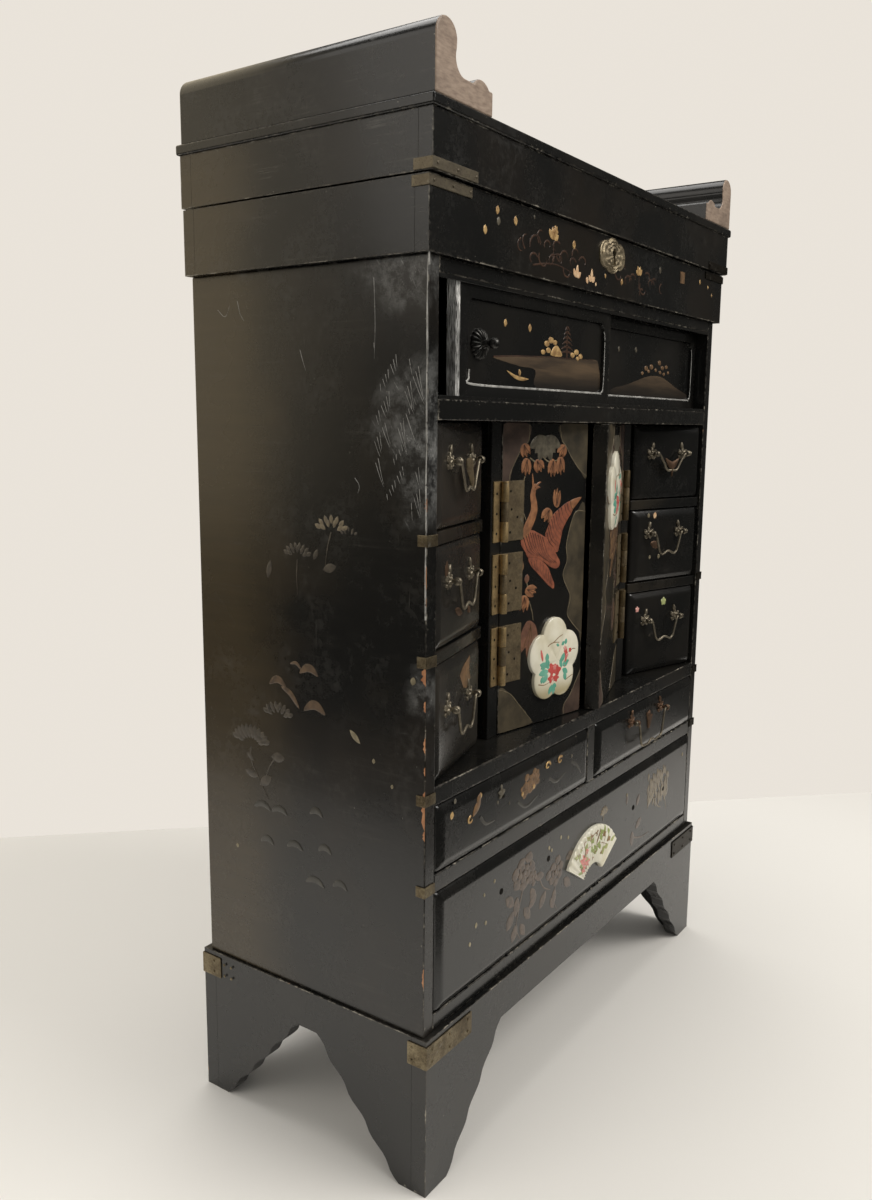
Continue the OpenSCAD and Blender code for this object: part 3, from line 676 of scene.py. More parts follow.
@dataclass(frozen=True)
class Brass:
    """Old sheet brass: brown tarnish in clouds, brighter rubbed spots, a fine punched ground, and painted
    shade to the right of a line.
    """

    bright: Colour = (0.33, 0.235, 0.105)
    tarnish: Colour = (0.075, 0.054, 0.03)
    rubbed: float = 0.5
    punched: float = 0.0
    roughness: float = 0.45
    dull_above: float = 9999.0
    # Painted shade: the x from which the brass turns near black, and how much.
    painted_shade_right: Pair = (0.0, 0.0)
    scuffed: float = 0.0
    seed: float = 0.0

    def make(self, name: str) -> Material:
        """Makes the material."""
        g = Graph.material(name)
        cloud = g.noise(9, 5, 0.65, self.seed)
        fine = g.noise(1.2, 4, 0.7, self.seed + 4)
        share = (cloud * 0.7 + fine * 0.4 - 0.55 + self.rubbed * 0.45).step(-0.02, 0.5)
        colour = g.mix(share, self.tarnish, self.bright)
        spots = g.noise(2.6, 3, 0.6, self.seed + 8).step(0.64, 0.74)
        x, _, z = g.axes()
        if self.dull_above < 9999:
            colour = g.mix(z.step(self.dull_above, self.dull_above + 1) * 0.6, colour, (0.17, 0.15, 0.115))
        # Painted shade: to the right of the line the brass turns near black by the given share.
        if self.painted_shade_right[1] > 0:
            line, share = self.painted_shade_right
            colour = g.mix(x.step(line, line + 5) * share, colour, (0.016, 0.013, 0.009))
        colour = g.mix(spots * 0.6, colour, (0.03, 0.026, 0.02))
        height = fine * 0.5 + cloud * 0.3
        if self.scuffed > 0:
            scuff = g.noise(7, 6, 0.8, self.seed + 12).step(0.58, 0.68) * self.scuffed
            colour = g.mix(scuff, colour, (0.34, 0.32, 0.27))
        if self.punched > 0:
            dots = g.node("ShaderNodeTexVoronoi", {}, {"Vector": g.here, "Scale": 0.75})
            height = height + dots.step(0.1, 0.5) * self.punched
            colour = g.mix(dots.step(0.35, 0.1) * 0.5, colour, (0.03, 0.024, 0.016))
        g.bump(height, 0.18, 0.7)
        return g.finish(Base_Color=colour, Metallic=0.85,
            Roughness=(self.roughness + (1 - share) * 0.2 + spots * 0.15))


@dataclass(frozen=True)
class Gilt:
    """Gold or coloured powder work on lacquer; worn is the share rubbed away down to the black."""

    bright: Colour = (0.42, 0.27, 0.1)
    deep: Colour = (0.2, 0.105, 0.04)
    worn: float = 0.4
    metallic: float = 0.3
    roughness: float = 0.48
    grain: float = 2.5
    fade: Pair | None = None
    streak: float = 1.0
    seed: float = 0.0

    def make(self, name: str) -> Material:
        """Makes the material; below the first fade height all of it goes to the black."""
        g = Graph.material(name)
        where = g.stretched(self.streak, 1.0, 1.0)
        tone = g.noise(self.grain * 2.4, 4, 0.6, self.seed, where)
        colour = g.mix(tone.step(0.3, 0.7), self.deep, self.bright)
        fine = g.noise(self.grain, 5, 0.7, self.seed + 6, where)
        gone = (fine + self.worn - 0.5).step(0.5, 0.62)
        if self.fade is not None:
            low, high = self.fade
            gone = gone.high((g.axes()[2] + (fine - 0.5) * 8).step(high, low))
        colour = g.mix(gone, colour, (0.016, 0.013, 0.01))
        g.bump(tone, 0.1, 0.4)
        return g.finish(Base_Color=colour, Metallic=(1 - gone) * self.metallic, Roughness=self.roughness
            - gone * 0.1, Coat_Weight=0.25, Coat_Roughness=0.12)


@dataclass(frozen=True)
class Glaze:
    """Porcelain glaze: an even tone with faint crazing and a few brown specks."""

    tone: Colour = (0.72, 0.68, 0.55)
    shade: Colour = (0.6, 0.55, 0.4)
    specks: float = 1.0
    foot: Pair | None = None
    seed: float = 0.0

    def make(self, name: str) -> Material:
        """Makes the material; it yellows down to the first foot height."""
        g = Graph.material(name)
        cloud = g.noise(16, 3, 0.5, self.seed)
        colour = g.mix(cloud.step(0.4, 0.75), self.tone, self.shade)
        if self.foot is not None:
            stain = (g.axes()[2] + (cloud - 0.5) * 14).step(self.foot[1], self.foot[0])
            colour = g.mix(stain * 0.8, colour, (0.36, 0.29, 0.13))
        speck = g.noise(1.3, 2, 0.5, self.seed + 5).step(0.72, 0.78) * self.specks
        colour = g.mix(speck * 0.6, colour, (0.3, 0.2, 0.1))
        g.bump(g.noise(5, 2, 0.5, self.seed + 7), 0.15, 0.3)
        return g.finish(Base_Color=colour, Roughness=0.22 + speck * 0.2, Coat_Weight=0.5, Coat_Roughness=0.06)


class Gloss(Enum):
    """Named finishes that several pieces share."""

    # STRAP and KNUCKLE carry painted shade on their right-hand pieces, from x 90 and from x 60.
    STRAP = Brass((0.36, 0.3, 0.19), rubbed=0.4, punched=0.5, dull_above=400.0, painted_shade_right=(90.0, 0.93),
        scuffed=0.6, seed=3.0)
    HINGE = Brass((0.36, 0.28, 0.165), (0.1, 0.077, 0.05), rubbed=0.5, scuffed=0.6, seed=11.0)
    KNUCKLE = Brass((0.66, 0.48, 0.24), (0.16, 0.11, 0.055), rubbed=0.6, painted_shade_right=(60.0, 0.72), scuffed=0.4,
        seed=17.0)
    NAIL = Brass((0.03, 0.025, 0.018), (0.012, 0.01, 0.008), rubbed=0.3, roughness=0.6, seed=19.0)
    BAIL = Brass((0.4, 0.35, 0.26), (0.09, 0.075, 0.055), rubbed=0.5, roughness=0.38, seed=23.0)
    COPPER = Brass((0.24, 0.145, 0.09), (0.07, 0.044, 0.029), rubbed=0.5, scuffed=0.35, seed=29.0)
    KEYPLATE = Brass((0.46, 0.38, 0.25), (0.12, 0.098, 0.068), rubbed=0.6, punched=0.4, seed=31.0)
    ROSETTE = Brass((0.32, 0.31, 0.29), (0.012, 0.012, 0.011), rubbed=0.2, roughness=0.22, seed=37.0)
    LOCK = Brass((0.3, 0.27, 0.2), (0.1, 0.08, 0.05), rubbed=0.5, seed=41.0)
    CORAL = Gilt((0.31, 0.095, 0.045), (0.17, 0.05, 0.027), worn=0.1, metallic=0.1, grain=1.3, seed=2.0)
    ORANGE = Gilt((0.34, 0.15, 0.062), (0.18, 0.075, 0.033), worn=0.16, metallic=0.12, grain=1.5, seed=5.0)
    PALE = Gilt((0.36, 0.31, 0.2), (0.17, 0.14, 0.085), worn=0.25, metallic=0.3, seed=7.0)
    OUTLINE = Gilt((0.24, 0.19, 0.11), (0.1, 0.08, 0.05), worn=0.36, metallic=0.2, seed=8.0)
    GOLD = Gilt((0.6, 0.4, 0.165), (0.28, 0.155, 0.06), worn=0.24, grain=1.1, seed=9.0)
    BRIGHT = Gilt((0.74, 0.53, 0.32), (0.5, 0.28, 0.14), worn=0.2, metallic=0.15, grain=1.1, seed=10.0)
    OLD_GOLD = Gilt((0.23, 0.13, 0.06), (0.1, 0.058, 0.028), worn=0.36, metallic=0.2, grain=1.6, seed=13.0)
    FAINT = Gilt((0.115, 0.08, 0.055), (0.05, 0.036, 0.027), worn=0.42, metallic=0.1, roughness=0.33,
        grain=1.2, seed=15.0)
    FAINT_GOLD = Gilt((0.2, 0.16, 0.1), (0.11, 0.088, 0.06), worn=0.36, metallic=0.1, roughness=0.33,
        grain=1.2, seed=14.0)
    SCROLL = Gilt((0.075, 0.038, 0.022), (0.04, 0.022, 0.015), worn=0.32, metallic=0.1, roughness=0.35,
        grain=1.4, seed=16.0)
    INK = Gilt((0.07, 0.03, 0.018), (0.035, 0.016, 0.011), worn=0.1, metallic=0.0, seed=18.0)
    ASH = Gilt((0.15, 0.13, 0.09), (0.06, 0.05, 0.034), worn=0.2, metallic=0.2, grain=1.6, seed=20.0)
    CLOUD = Gilt((0.1, 0.078, 0.045), (0.034, 0.028, 0.018), worn=0.27, metallic=0.2, grain=6.0, seed=19.0)
    WAN = Gilt((0.085, 0.07, 0.052), (0.042, 0.036, 0.028), worn=0.36, metallic=0.1, roughness=0.33,
               grain=1.4, seed=22.0)
    HILL = Gilt((0.14, 0.09, 0.052), (0.055, 0.04, 0.028), worn=0.36, metallic=0.1, roughness=0.35, grain=2.0,
                seed=24.0)
    SHADE = Gilt((0.055, 0.05, 0.04), (0.032, 0.03, 0.024), worn=0.4, metallic=0.1, roughness=0.33, seed=27.0)
    CLOUD_RED = Gilt((0.11, 0.07, 0.05), (0.05, 0.032, 0.024), worn=0.25, metallic=0.2, grain=6.0, seed=21.0)
    SHORE = Gilt((0.13, 0.085, 0.046), (0.05, 0.034, 0.021), worn=0.2, metallic=0.2, grain=2.0,
        fade=(451.0, 467.0), streak=0.1, seed=25.0)
    RAW = Gilt((0.5, 0.24, 0.11), (0.3, 0.12, 0.05), worn=0.05, metallic=0.0, roughness=0.8, grain=3.0,
               seed=45.0)
    RUST = Gilt((0.2, 0.09, 0.05), (0.1, 0.045, 0.028), worn=0.25, metallic=0.1, grain=2.0, seed=26.0)
    # Pale grey: wear on the left arris, and a painted highlight along the sliding frames' openings.
    RUBBED = Gilt((0.46, 0.45, 0.42), (0.2, 0.195, 0.18), worn=0.46, metallic=0.0, grain=2.2, seed=47.0)
    PORCELAIN = Glaze((0.74, 0.7, 0.57), foot=(255.0, 268.0))
    FAN = Glaze((0.72, 0.69, 0.57))
    RED = Glaze((0.5, 0.07, 0.06), (0.62, 0.17, 0.15), 0.0, seed=3.0)
    PINK = Glaze((0.6, 0.22, 0.19), (0.68, 0.38, 0.32), 0.0, seed=6.0)
    GREEN = Glaze((0.1, 0.34, 0.24), (0.2, 0.44, 0.33), 0.0, seed=9.0)
    OLIVE = Glaze((0.28, 0.33, 0.12), (0.42, 0.42, 0.2), 0.0, seed=12.0)
    UMBER = Glaze((0.22, 0.14, 0.07), (0.34, 0.23, 0.12), 0.0, seed=14.0)

    def material(self) -> Material:
        """The finish's material, made once."""
        name = "finish_" + self.name.lower()
        return bpy.data.materials.get(name) or self.value.make(name)


# ---- helpers for pieces


def dots(face: Face, places: Points, radius: float, crown: float) -> Shell:
    """Round nail heads on a face, as one shell: each is a low dome of the given radius and height."""
    return joined(plate(face, circle(radius, 10) + place, 0.15, crown) for place in np.array(places))


def plates(face: Face, outlines: Sequence[Array], rim: float = 0.12, crown: float = 0.3,
           lift: Lift = flat_lift) -> Shell:
    """Several thin plates on a face, as one shell."""
    return joined(plate(face, outline, rim, crown, lift) for outline in outlines)


def leaves(face: Face, rows: Sequence[tuple[float, ...]], sides: int = 12, crown: float = 0.2,
           rim: float = 0.08) -> Shell:
    """Pointed leaves (u, z, length, width, angle) on a face, as one shell."""
    return plates(face, [leaf_outline((u, z), n, w, t, sides) for u, z, n, w, t in rows], rim, crown)


def bar(face: Face, u: Pair, z: Pair, h: Pair) -> Shell:
    """A straight bar on a face: corners at u, z and h."""
    outline = np.array([[u[0], z[0]], [u[1], z[0]], [u[1], z[1]], [u[0], z[1]]])
    rho = np.array([0.0, 1.0, 1.0, 0.0])[:, None, None]
    height = np.array([h[0], h[0], h[1], h[1]])[:, None]
    p = outline.mean(axis=0) + rho * (outline - outline.mean(axis=0))[None]
    return grid_shell(face.at(p[..., 0], p[..., 1], np.broadcast_to(height, p.shape[:2])))


def dress(node: str, material: Material, bevel: float = 0.6) -> None:
    """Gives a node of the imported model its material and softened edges."""
    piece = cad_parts[node]
    piece.data.materials.clear()
    piece.data.materials.append(material)
    if bevel > 0:
        add_bevel(piece, bevel, loose=True)


def paint(name: str, shell: Shell, gloss: Gloss, body: str) -> bpy.types.Object:
    """Makes a piece of raised lacquer work."""
    return make_piece(name, shell, gloss.material(), body)


# ---- handles


@dataclass(frozen=True)
class Handle:
    """A bail with its two posts on a drawer front."""

    name: str
    body: str
    face: Face
    u: float
    z: float
    span: float = 37.0
    drop: float = 16.0
    out: float = 5.5
    rod: float = 0.8
    spread: float = 8.5
    tag: tuple[Pair, ...] = ()
    tag_hangs: bool = True
    foot: Gloss = Gloss.BAIL
    tag_gloss: Gloss = Gloss.COPPER

    def path(self) -> Array:
        """Centre line (u, z) of the bail: pivot, arm, grip, arm, pivot, with arcs at the corners.

        The grip carries a small hump in the middle, 1.7 exp(-(x/4) squared), between two shallow dips.
        """
        top, low, end = self.span / 2 - 3.2, self.span / 2 - self.spread, self.span / 2 + 2.8
        corner = [(end, 0.0), (top, 0.0), (low, -self.drop)]
        line = np.array([(-x, z) for x, z in corner] + corner[::-1])
        points = [line[0]]
        bend = np.array([0.0, 2.4, 3.6, 3.6, 2.4, 0.0])
        t = np.linspace(0, 1, 8)[:, None]
        for i in range(1, len(line) - 1):
            before, after = line[i - 1] - line[i], line[i + 1] - line[i]
            a = line[i] + before / np.linalg.norm(before) * bend[i]
            b = line[i] + after / np.linalg.norm(after) * bend[i]
            points.extend((1 - t) ** 2 * a + 2 * t * (1 - t) * line[i] + t**2 * b)
        curve = np.vstack([points, line[-1]])
        share = np.linspace(0, 1, 8 * len(curve))
        length = np.concatenate([[0.0], np.cumsum(np.hypot(*np.diff(curve, axis=0).T))])
        fine = np.stack([np.interp(share * length[-1], length, curve[:, k]) for k in (0, 1)], axis=1)
        hump = np.exp(-((fine[:, 0] / 4.0) ** 2)) - 0.4 * np.exp(-(((np.abs(fine[:, 0]) - 7.0) / 3.0) ** 2))
        fine[:, 1] += np.where(fine[:, 1] < -0.6 * self.drop, 1.7 * hump, 0.0)
        return fine[::3]

    def bail(self) -> Shell:
        """The bent rod, thickest at the grip, with a button on each end of the pivots."""
        flat = self.path()
        share = 1 - np.abs(np.linspace(-1, 1, len(flat)))
        points = self.face.at(self.u + flat[:, 0], self.z + flat[:, 1], np.full(len(flat), self.out))
        shell = sweep(points, circle(self.rod, 12), self.face.out, 0.82 + 0.28 * np.clip(share * 3, 0, 1))
        across = np.array(self.face.across)
        for side in (-1, 1):
            at = self.face.at(self.u + side * (self.span / 2 + 2.6), self.z, self.out)
            t = np.linspace(-1, 1, 7)
            knob = at + across * (t * 0.8)[:, None]
            shell.add(sweep(knob, circle(1.8, 12), self.face.out, np.sqrt(1 - (t * 0.86) ** 2)))
        return shell

    def post(self, side: int) -> Shell:
        """A flower-shaped foot plate, the stem, and the ring that the pivot turns in."""
        u = self.u + side * self.span / 2
        shell = plate(self.face, petal_outline((u, self.z), 5.2, 5, 0.42), 0.45, 1.3)
        shell.add(plate(self.face, petal_outline((u, self.z), 3.2, 5, 0.4, 126), 0.9, 2.4))
        shell.add(plate(self.face, leaf_outline((u - 0.4 * side, self.z + 3), 6.0, 3.4, 90 + 14 * side), 0.4,
            1.3))
        for turn in (30, 150, 210, 330):
            a = math.radians(turn)
            shell.add(dots(self.face, [(u + 4.6 * math.cos(a), self.z + 4.6 * math.sin(a))], 0.9, 1.2))
        stem = self.face.at(np.full(5, u), np.full(5, self.z), np.linspace(0.4, self.out - 1.6, 5))
        shell.add(sweep(stem, circle(1.25, 10), UP, np.array([1.25, 1.0, 0.9, 0.95, 1.1])))
        turn = around(20)
        ring = circle(0.62, 8) * np.array([1.0, 2.2])
        r = 1.72 + ring[None, :, 0]
        place = self.face.at(u + 0 * r + ring[None, :, 1], self.z + r * np.sin(turn)[:, None],
            self.out + r * np.cos(turn)[:, None])
        return shell.add(grid_shell(np.concatenate([place, place[:1]], axis=0)))

    def build(self) -> None:
        """Makes the bail, the posts and the tag, which hangs on the bail or lies on the drawer."""
        bail = paint(self.name + "_rod", self.bail(), Gloss.BAIL, self.name)
        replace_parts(bail, self.name)
        shell = self.post(-1).add(self.post(1))
        node = self.name.replace("bail", "posts")
        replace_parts(paint(node + "_flowers", shell, self.foot, self.body), node)
        if self.tag:
            face, body = self.face, self.body
            if self.tag_hangs:
                face, body = face.proud(self.out - 0.4), self.name
            outline = smooth_outline(self.tag) + np.array([self.u, self.z])
            paint(self.name.replace("bail", "leaf_plate"), plate(face, outline, 0.5, 1.4), self.tag_gloss,
                  body)


# ---- porcelain


@dataclass(frozen=True)
class Plaque:
    """A five-lobed porcelain plaque: five circles of lobe_r set round the middle at lobe_at."""

    name: str
    body: str
    face: Face
    u: float
    z: float
    lobe_at: float = 14.0
    lobe_r: float = 13.0
    rim: float = 2.0
    crown: float = 4.3
    wide: float = 0.95
    tall: float = 1.04

    def radius(self, angle: Array) -> Array:
        """Outline: r = at cos a + sqrt(R squared - at squared sin squared a), a from the next lobe."""
        fifth = 2 * math.pi / 5
        a = (angle - math.pi / 2 + fifth / 2) % fifth - fifth / 2
        return self.lobe_at * np.cos(a) + np.sqrt(self.lobe_r**2 - (self.lobe_at * np.sin(a)) ** 2)

    def height(self, u: Array, z: Array) -> Array:
        """Height of the glaze: rim + (crown - rim) sqrt(1 - rho squared), with a low groove between lobes."""
        across, up = (u - self.u) / self.wide, (z - self.z) / self.tall
        angle = np.arctan2(up, across)
        rho = np.clip(np.hypot(across, up) / self.radius(angle), 0, 1)
        lobe = np.abs(np.sin(2.5 * (angle - math.pi / 2)))
        groove = 0.5 * lobe**8 * np.sin(math.pi * rho)
        return self.rim + (self.crown - self.rim) * np.sqrt(1 - rho**2) - groove

    def body_shell(self) -> Shell:
        """The plaque: rings of its outline, each at the height of the glaze."""
        angle = around(120)
        rho = np.concatenate([[0.0, 1.0, 1.0, 0.995, 0.98], np.linspace(0.95, 0.05, 12), [0.0]])[:, None]
        r = rho * self.radius(angle)[None]
        u, z = self.u + self.wide * r * np.cos(angle), self.z + self.tall * r * np.sin(angle)
        h = np.where(np.arange(len(rho))[:, None] < 2, 0.0, self.height(u, z))
        return grid_shell(self.face.at(u, z, h))

    def lifted(self, outlines: Sequence[Array], thick: float = 0.22) -> Shell:
        """Enamel touches on the glaze."""
        return plates(self.face, outlines, 0.06, thick, self.height)

    def build(self) -> None:
        """Makes the plaque and its painted sprays."""
        piece = paint(self.name + "_glaze", self.body_shell(), Gloss.PORCELAIN, self.body)
        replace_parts(piece, self.name)
        u, z = self.u, self.z
        red = [petal_outline((u + a, z + b), r, n, 0.34, 25 * r) for a, b, r,
               n in ((-4.4, -5.6, 4.6, 5), (0.6, -7.0, 4.0, 4), (-5.4, -11.6, 3.4, 4), (0.0, -12.2, 3.0, 5),
            (9.2, 4.0, 2.4, 4), (13.8, 4.6, 1.8, 4))]
        pink = [petal_outline((u + a, z + b), r, 5, 0.3) for a, b,
                r in ((-2.4, -4.4, 2.3), (-4.4, -12.0, 1.6), (8.4, 6.6, 1.8), (10.6, 1.6, 1.6))]
        leaves = [leaf_outline((u + a, z + b), n, w, t) for a, b, n, w,
                  t in ((-9, -1, 7, 4.2, 205), (-8, -3, 9, 4.2, 165), (-8, -6, 9, 4.6, 190),
            (-9, -8, 7, 3.8, 235), (-8, -5, 8, 4.4, 110), (-10, 0, 6, 3.6, 90), (-13, -9, 5, 3.2, 250),
            (4, -3, 8, 4, 60), (6, -5, 8, 4.4, 20), (6, -7, 7, 4, -30), (8, -9, 7, 3.6, -70),
            (5, -6, 7, 3.6, 100), (-3, -16, 8, 4, -70), (-4, -16, 7, 3.8, -110), (-3, -16, 5, 3.4, -30),
            (5, 9, 4, 2.6, 30), (9, 9, 4, 2.4, 70), (2, 9, 3.4, 2, 150))]
        stems = Shell()
        for points in (((-16, 9), (-15, 5), (-14, 1)), ((9, 4), (9.5, -2), (8, -6))):
            stems.add(line_on(self.face, [(u + a, z + b) for a, b in points], 2.0, 0.2,
                self.height, belly=True))
        fine = Shell()
        for points in (((-9, 10), (-4, 12), (2, 11.5)), ((-4, 12), (2, 15), (6, 16)),
                ((10, -15), (15, -13.5), (19, -13)), ((-17, -14), (-12, -15), (-7, -14)),
                ((14, 4), (17, 5), (20, 4.5))):
            fine.add(line_on(self.face, [(u + a, z + b) for a, b in points], 0.7, 0.16, self.height, 0.4))
        paint(self.name + "_red", self.lifted(red).add(stems), Gloss.RED, self.body)
        paint(self.name + "_pink", self.lifted(pink, 0.32), Gloss.PINK, self.body)
        paint(self.name + "_leaves", self.lifted(leaves), Gloss.GREEN, self.body)
        paint(self.name + "_lines", fine, Gloss.UMBER, self.body)


@dataclass(frozen=True)
class FanPlaque:
    """A fan-shaped porcelain plaque with pressed folds."""

    centre: Pair = (3.0, 112.2)
    inner: float = 15.8
    outer: float = 42.6
    start: float = 32.0
    end: float = 147.0
    folds: int = 15

    def height(self, u: Array, z: Array) -> Array:
        """Height of the glaze: 2.7 mm, with folds of 0.45 mm along the spokes."""
        turn = (np.degrees(np.arctan2(z - self.centre[1], u - self.centre[0])) - self.start) / (self.end
            - self.start)
        return 2.7 + 0.45 * np.cos(2 * math.pi * self.folds * turn)

    def body_shell(self) -> Shell:
        """The plate: at each angle a closed section from the inner to the outer arc."""
        a = np.radians(np.linspace(self.start, self.end, 181))[:, None]
        t = np.array([0.0, 0.0, 0.02, 0.06, 0.25, 0.5, 0.75, 0.94, 0.98, 1.0, 1.0])[None]
        flat = np.array([0.0, 0.7, 0.92, 1.0, 1.0, 1.0, 1.0, 1.0, 0.92, 0.7, 0.0])[None]
        r = self.inner + (self.outer - self.inner) * t
        u, z = self.centre[0] + r * np.cos(a), self.centre[1] + r * np.sin(a)
        return capped(FRONT.at(u, z, flat * self.height(u, z)))

    def at(self, angle: float, radius: float) -> Pair:
        """A point of the fan at an angle in degrees and a radius."""
        a = math.radians(angle)
        return self.centre[0] + radius * math.cos(a), self.centre[1] + radius * math.sin(a)

    def build(self) -> None:
        """Makes the plaque, its leaves and its flower."""
        body = "drawer_wide"
        piece = paint("fan_plaque_glaze", self.body_shell(), Gloss.FAN, body)
        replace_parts(piece, "fan_plaque")
        share = np.linspace(0, 1, 30)
        angles = 42 + 96 * share + 4 * np.sin(37 * share)
        radii = 29 + 7.5 * np.sin(23 * share + 1)
        leaves = [leaf_outline(self.at(a, r), 6.5 + 2 * math.sin(9 * a), 3.0, a + 60 * math.sin(2.3 * r))
                  for a, r in zip(angles.tolist(), radii.tolist())]
        shell = plates(FRONT, leaves, 0.06, 0.25, self.height)
        paint("fan_plaque_leaves", shell, Gloss.OLIVE, body)
        lines = Shell()
        for a, b, c in (((140, 24), (118, 30), (92, 33)), ((100, 20), (76, 29), (50, 31)),
                ((134, 38), (110, 39), (84, 38)), ((126, 20), (118, 30), (112, 39)),
                ((64, 22), (60, 31), (66, 39)), ((86, 24), (80, 33), (78, 40))):
            lines.add(line_on(FRONT, [self.at(*a), self.at(*b), self.at(*c)], 0.9, 0.3, self.height, 0.4))
        lines.add(plates(FRONT, [petal_outline(self.at(a, r), w, 5, 0.35) for a, r,
            w in ((98, 37, 3.0), (84, 37.5, 2.6), (66, 36, 2.8), (50, 35, 2.4))], 0.06, 0.36, self.height))
        paint("fan_plaque_lines", lines, Gloss.UMBER, body)
        flowers = [petal_outline(self.at(a, r), w, 5, 0.3) for a, r, w in ((124, 28, 4.4), (116, 23, 3.6),
            (132, 23, 3.0), (112, 31, 2.6))]
        paint("fan_plaque_flowers", plates(FRONT, flowers, 0.06, 0.4, self.height), Gloss.PINK, body)


# ---- metal trim


@dataclass(frozen=True)
class KeyPlate:
    """The lobed keyhole plate on the tray."""

    centre: Pair = (0.0, 535.7)
    lobe_x: float = 9.4
    lobe_r: float = 8.2
    middle_r: float = 10.8

    def outline(self, angle: Array) -> Array:
        """Radius of three overlapping circles, two of them at +-lobe_x: the largest that the ray reaches."""
        side = self.lobe_x * np.abs(np.cos(angle))
        reach = self.lobe_r**2 - (self.lobe_x * np.sin(angle)) ** 2
        lobes = np.where(reach > 0, side + np.sqrt(np.clip(reach, 0, None)), 0.0)
        return np.maximum(lobes, self.middle_r)

    def keyhole(self, angle: Array) -> Array:
        """Radius of the keyhole: a slot 1.5 mm half wide down to -5.6 mm, under a circle of 2.6 mm."""
        s, c = np.sin(angle), np.cos(angle)
        circle_r = 1.5 * s + np.sqrt(np.clip(2.6**2 - (1.5 * c) ** 2, 0.0, None))
        slot = np.minimum(1.5 / np.maximum(np.abs(c), 1e-3), np.where(s < 0, 5.6 / np.maximum(-s, 1e-3), 9.0))
        return np.where(s > 0.1, np.maximum(circle_r, 0.9), slot)

    def build(self) -> None:
        """Makes the plate with its keyhole and raised middle."""
        angle = around(96)
        outer, inner = self.outline(angle), self.keyhole(angle)
        rise = np.linspace(0.94, 0.06, 16)
        share = np.concatenate([[1.0, 1.0, 0.98], rise, [0.0, 0.0, 1.0]])[:, None]
        height = np.concatenate([[0.0, 0.8, 1.1], 1.2 + 0.9 * (1 - rise), [1.9, 0.0, 0.0]])[:, None]
        r = inner + (outer - inner) * share
        bump = (0.22 * np.cos(14 * angle) * np.sin(math.pi * share)
                + 0.34 * np.sin(20 * share)) * (height > 1) * (share < 0.98)
        u, z = self.centre[0] + r * np.cos(angle), self.centre[1] + r * np.sin(angle)
        shell = grid_shell(TRAY.at(u, z, height + bump))
        piece = paint("keyhole_plate", shell, Gloss.KEYPLATE, "cabinet")
        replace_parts(piece, "escutcheon")
        nails = [(a, self.centre[1] + b) for a, b in ((-15.4, 0), (15.4, 0), (0, 8.4), (0, -8.4))]
        paint("keyhole_plate_nails", dots(TRAY.proud(1.0), nails, 0.9, 0.7), Gloss.HINGE, "cabinet")


@dataclass(frozen=True)
class Rosette:
    """The chrysanthemum plate with its ball knob on the left sliding door."""

    centre: Pair = (-139.3, 472.0)
    petals: int = 16
    radius: float = 8.4
    knob: float = 3.1
    reach: float = 12.6

    def build(self) -> None:
        """Makes the plate (petals as ridges between the middle and the rim) and the knob (turned profile)."""
        angle = around(160)[None]
        petal = np.abs(np.cos(0.5 * self.petals * angle)) ** 0.6
        t = np.concatenate([[0.0, 1.0, 1.0], np.linspace(0.97, 0.3, 8), [0.22, 0.1, 0.0]])[:, None]
        rise = 0.8 + 2.3 * np.cos(0.5 * math.pi * np.clip(t, 0, 1)) ** 0.8
        ridge = 0.95 * petal * np.sin(math.pi * np.clip((t - 0.25) / 0.75, 0, 1)) ** 0.5
        h = np.where(np.arange(len(t))[:, None] < 2, 0.0, rise + ridge)
        r = t * (self.radius - 0.7 + 0.7 * petal)
        u, z = self.centre[0] + r * np.cos(angle), self.centre[1] + r * np.sin(angle)
        shell = grid_shell(LEFT_PANEL.at(u, z, h))
        turn = np.linspace(0, math.pi, 12)
        ball = self.reach - self.knob
        out = np.concatenate([[2.0, 4.0, 6.5], ball - self.knob * np.cos(turn[2:])])
        wide = np.concatenate([[2.6, 1.7, 1.5], self.knob * np.sin(turn[2:])])
        path = LEFT_PANEL.at(np.full(len(out), self.centre[0]), np.full(len(out), self.centre[1]), out)
        shell.add(sweep(path, circle(1.0, 20), UP, np.maximum(wide, 0.02)))
        piece = paint("chrysanthemum_knob", shell, Gloss.ROSETTE, "sliding_door_left")
        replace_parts(piece, "rosette_knob")


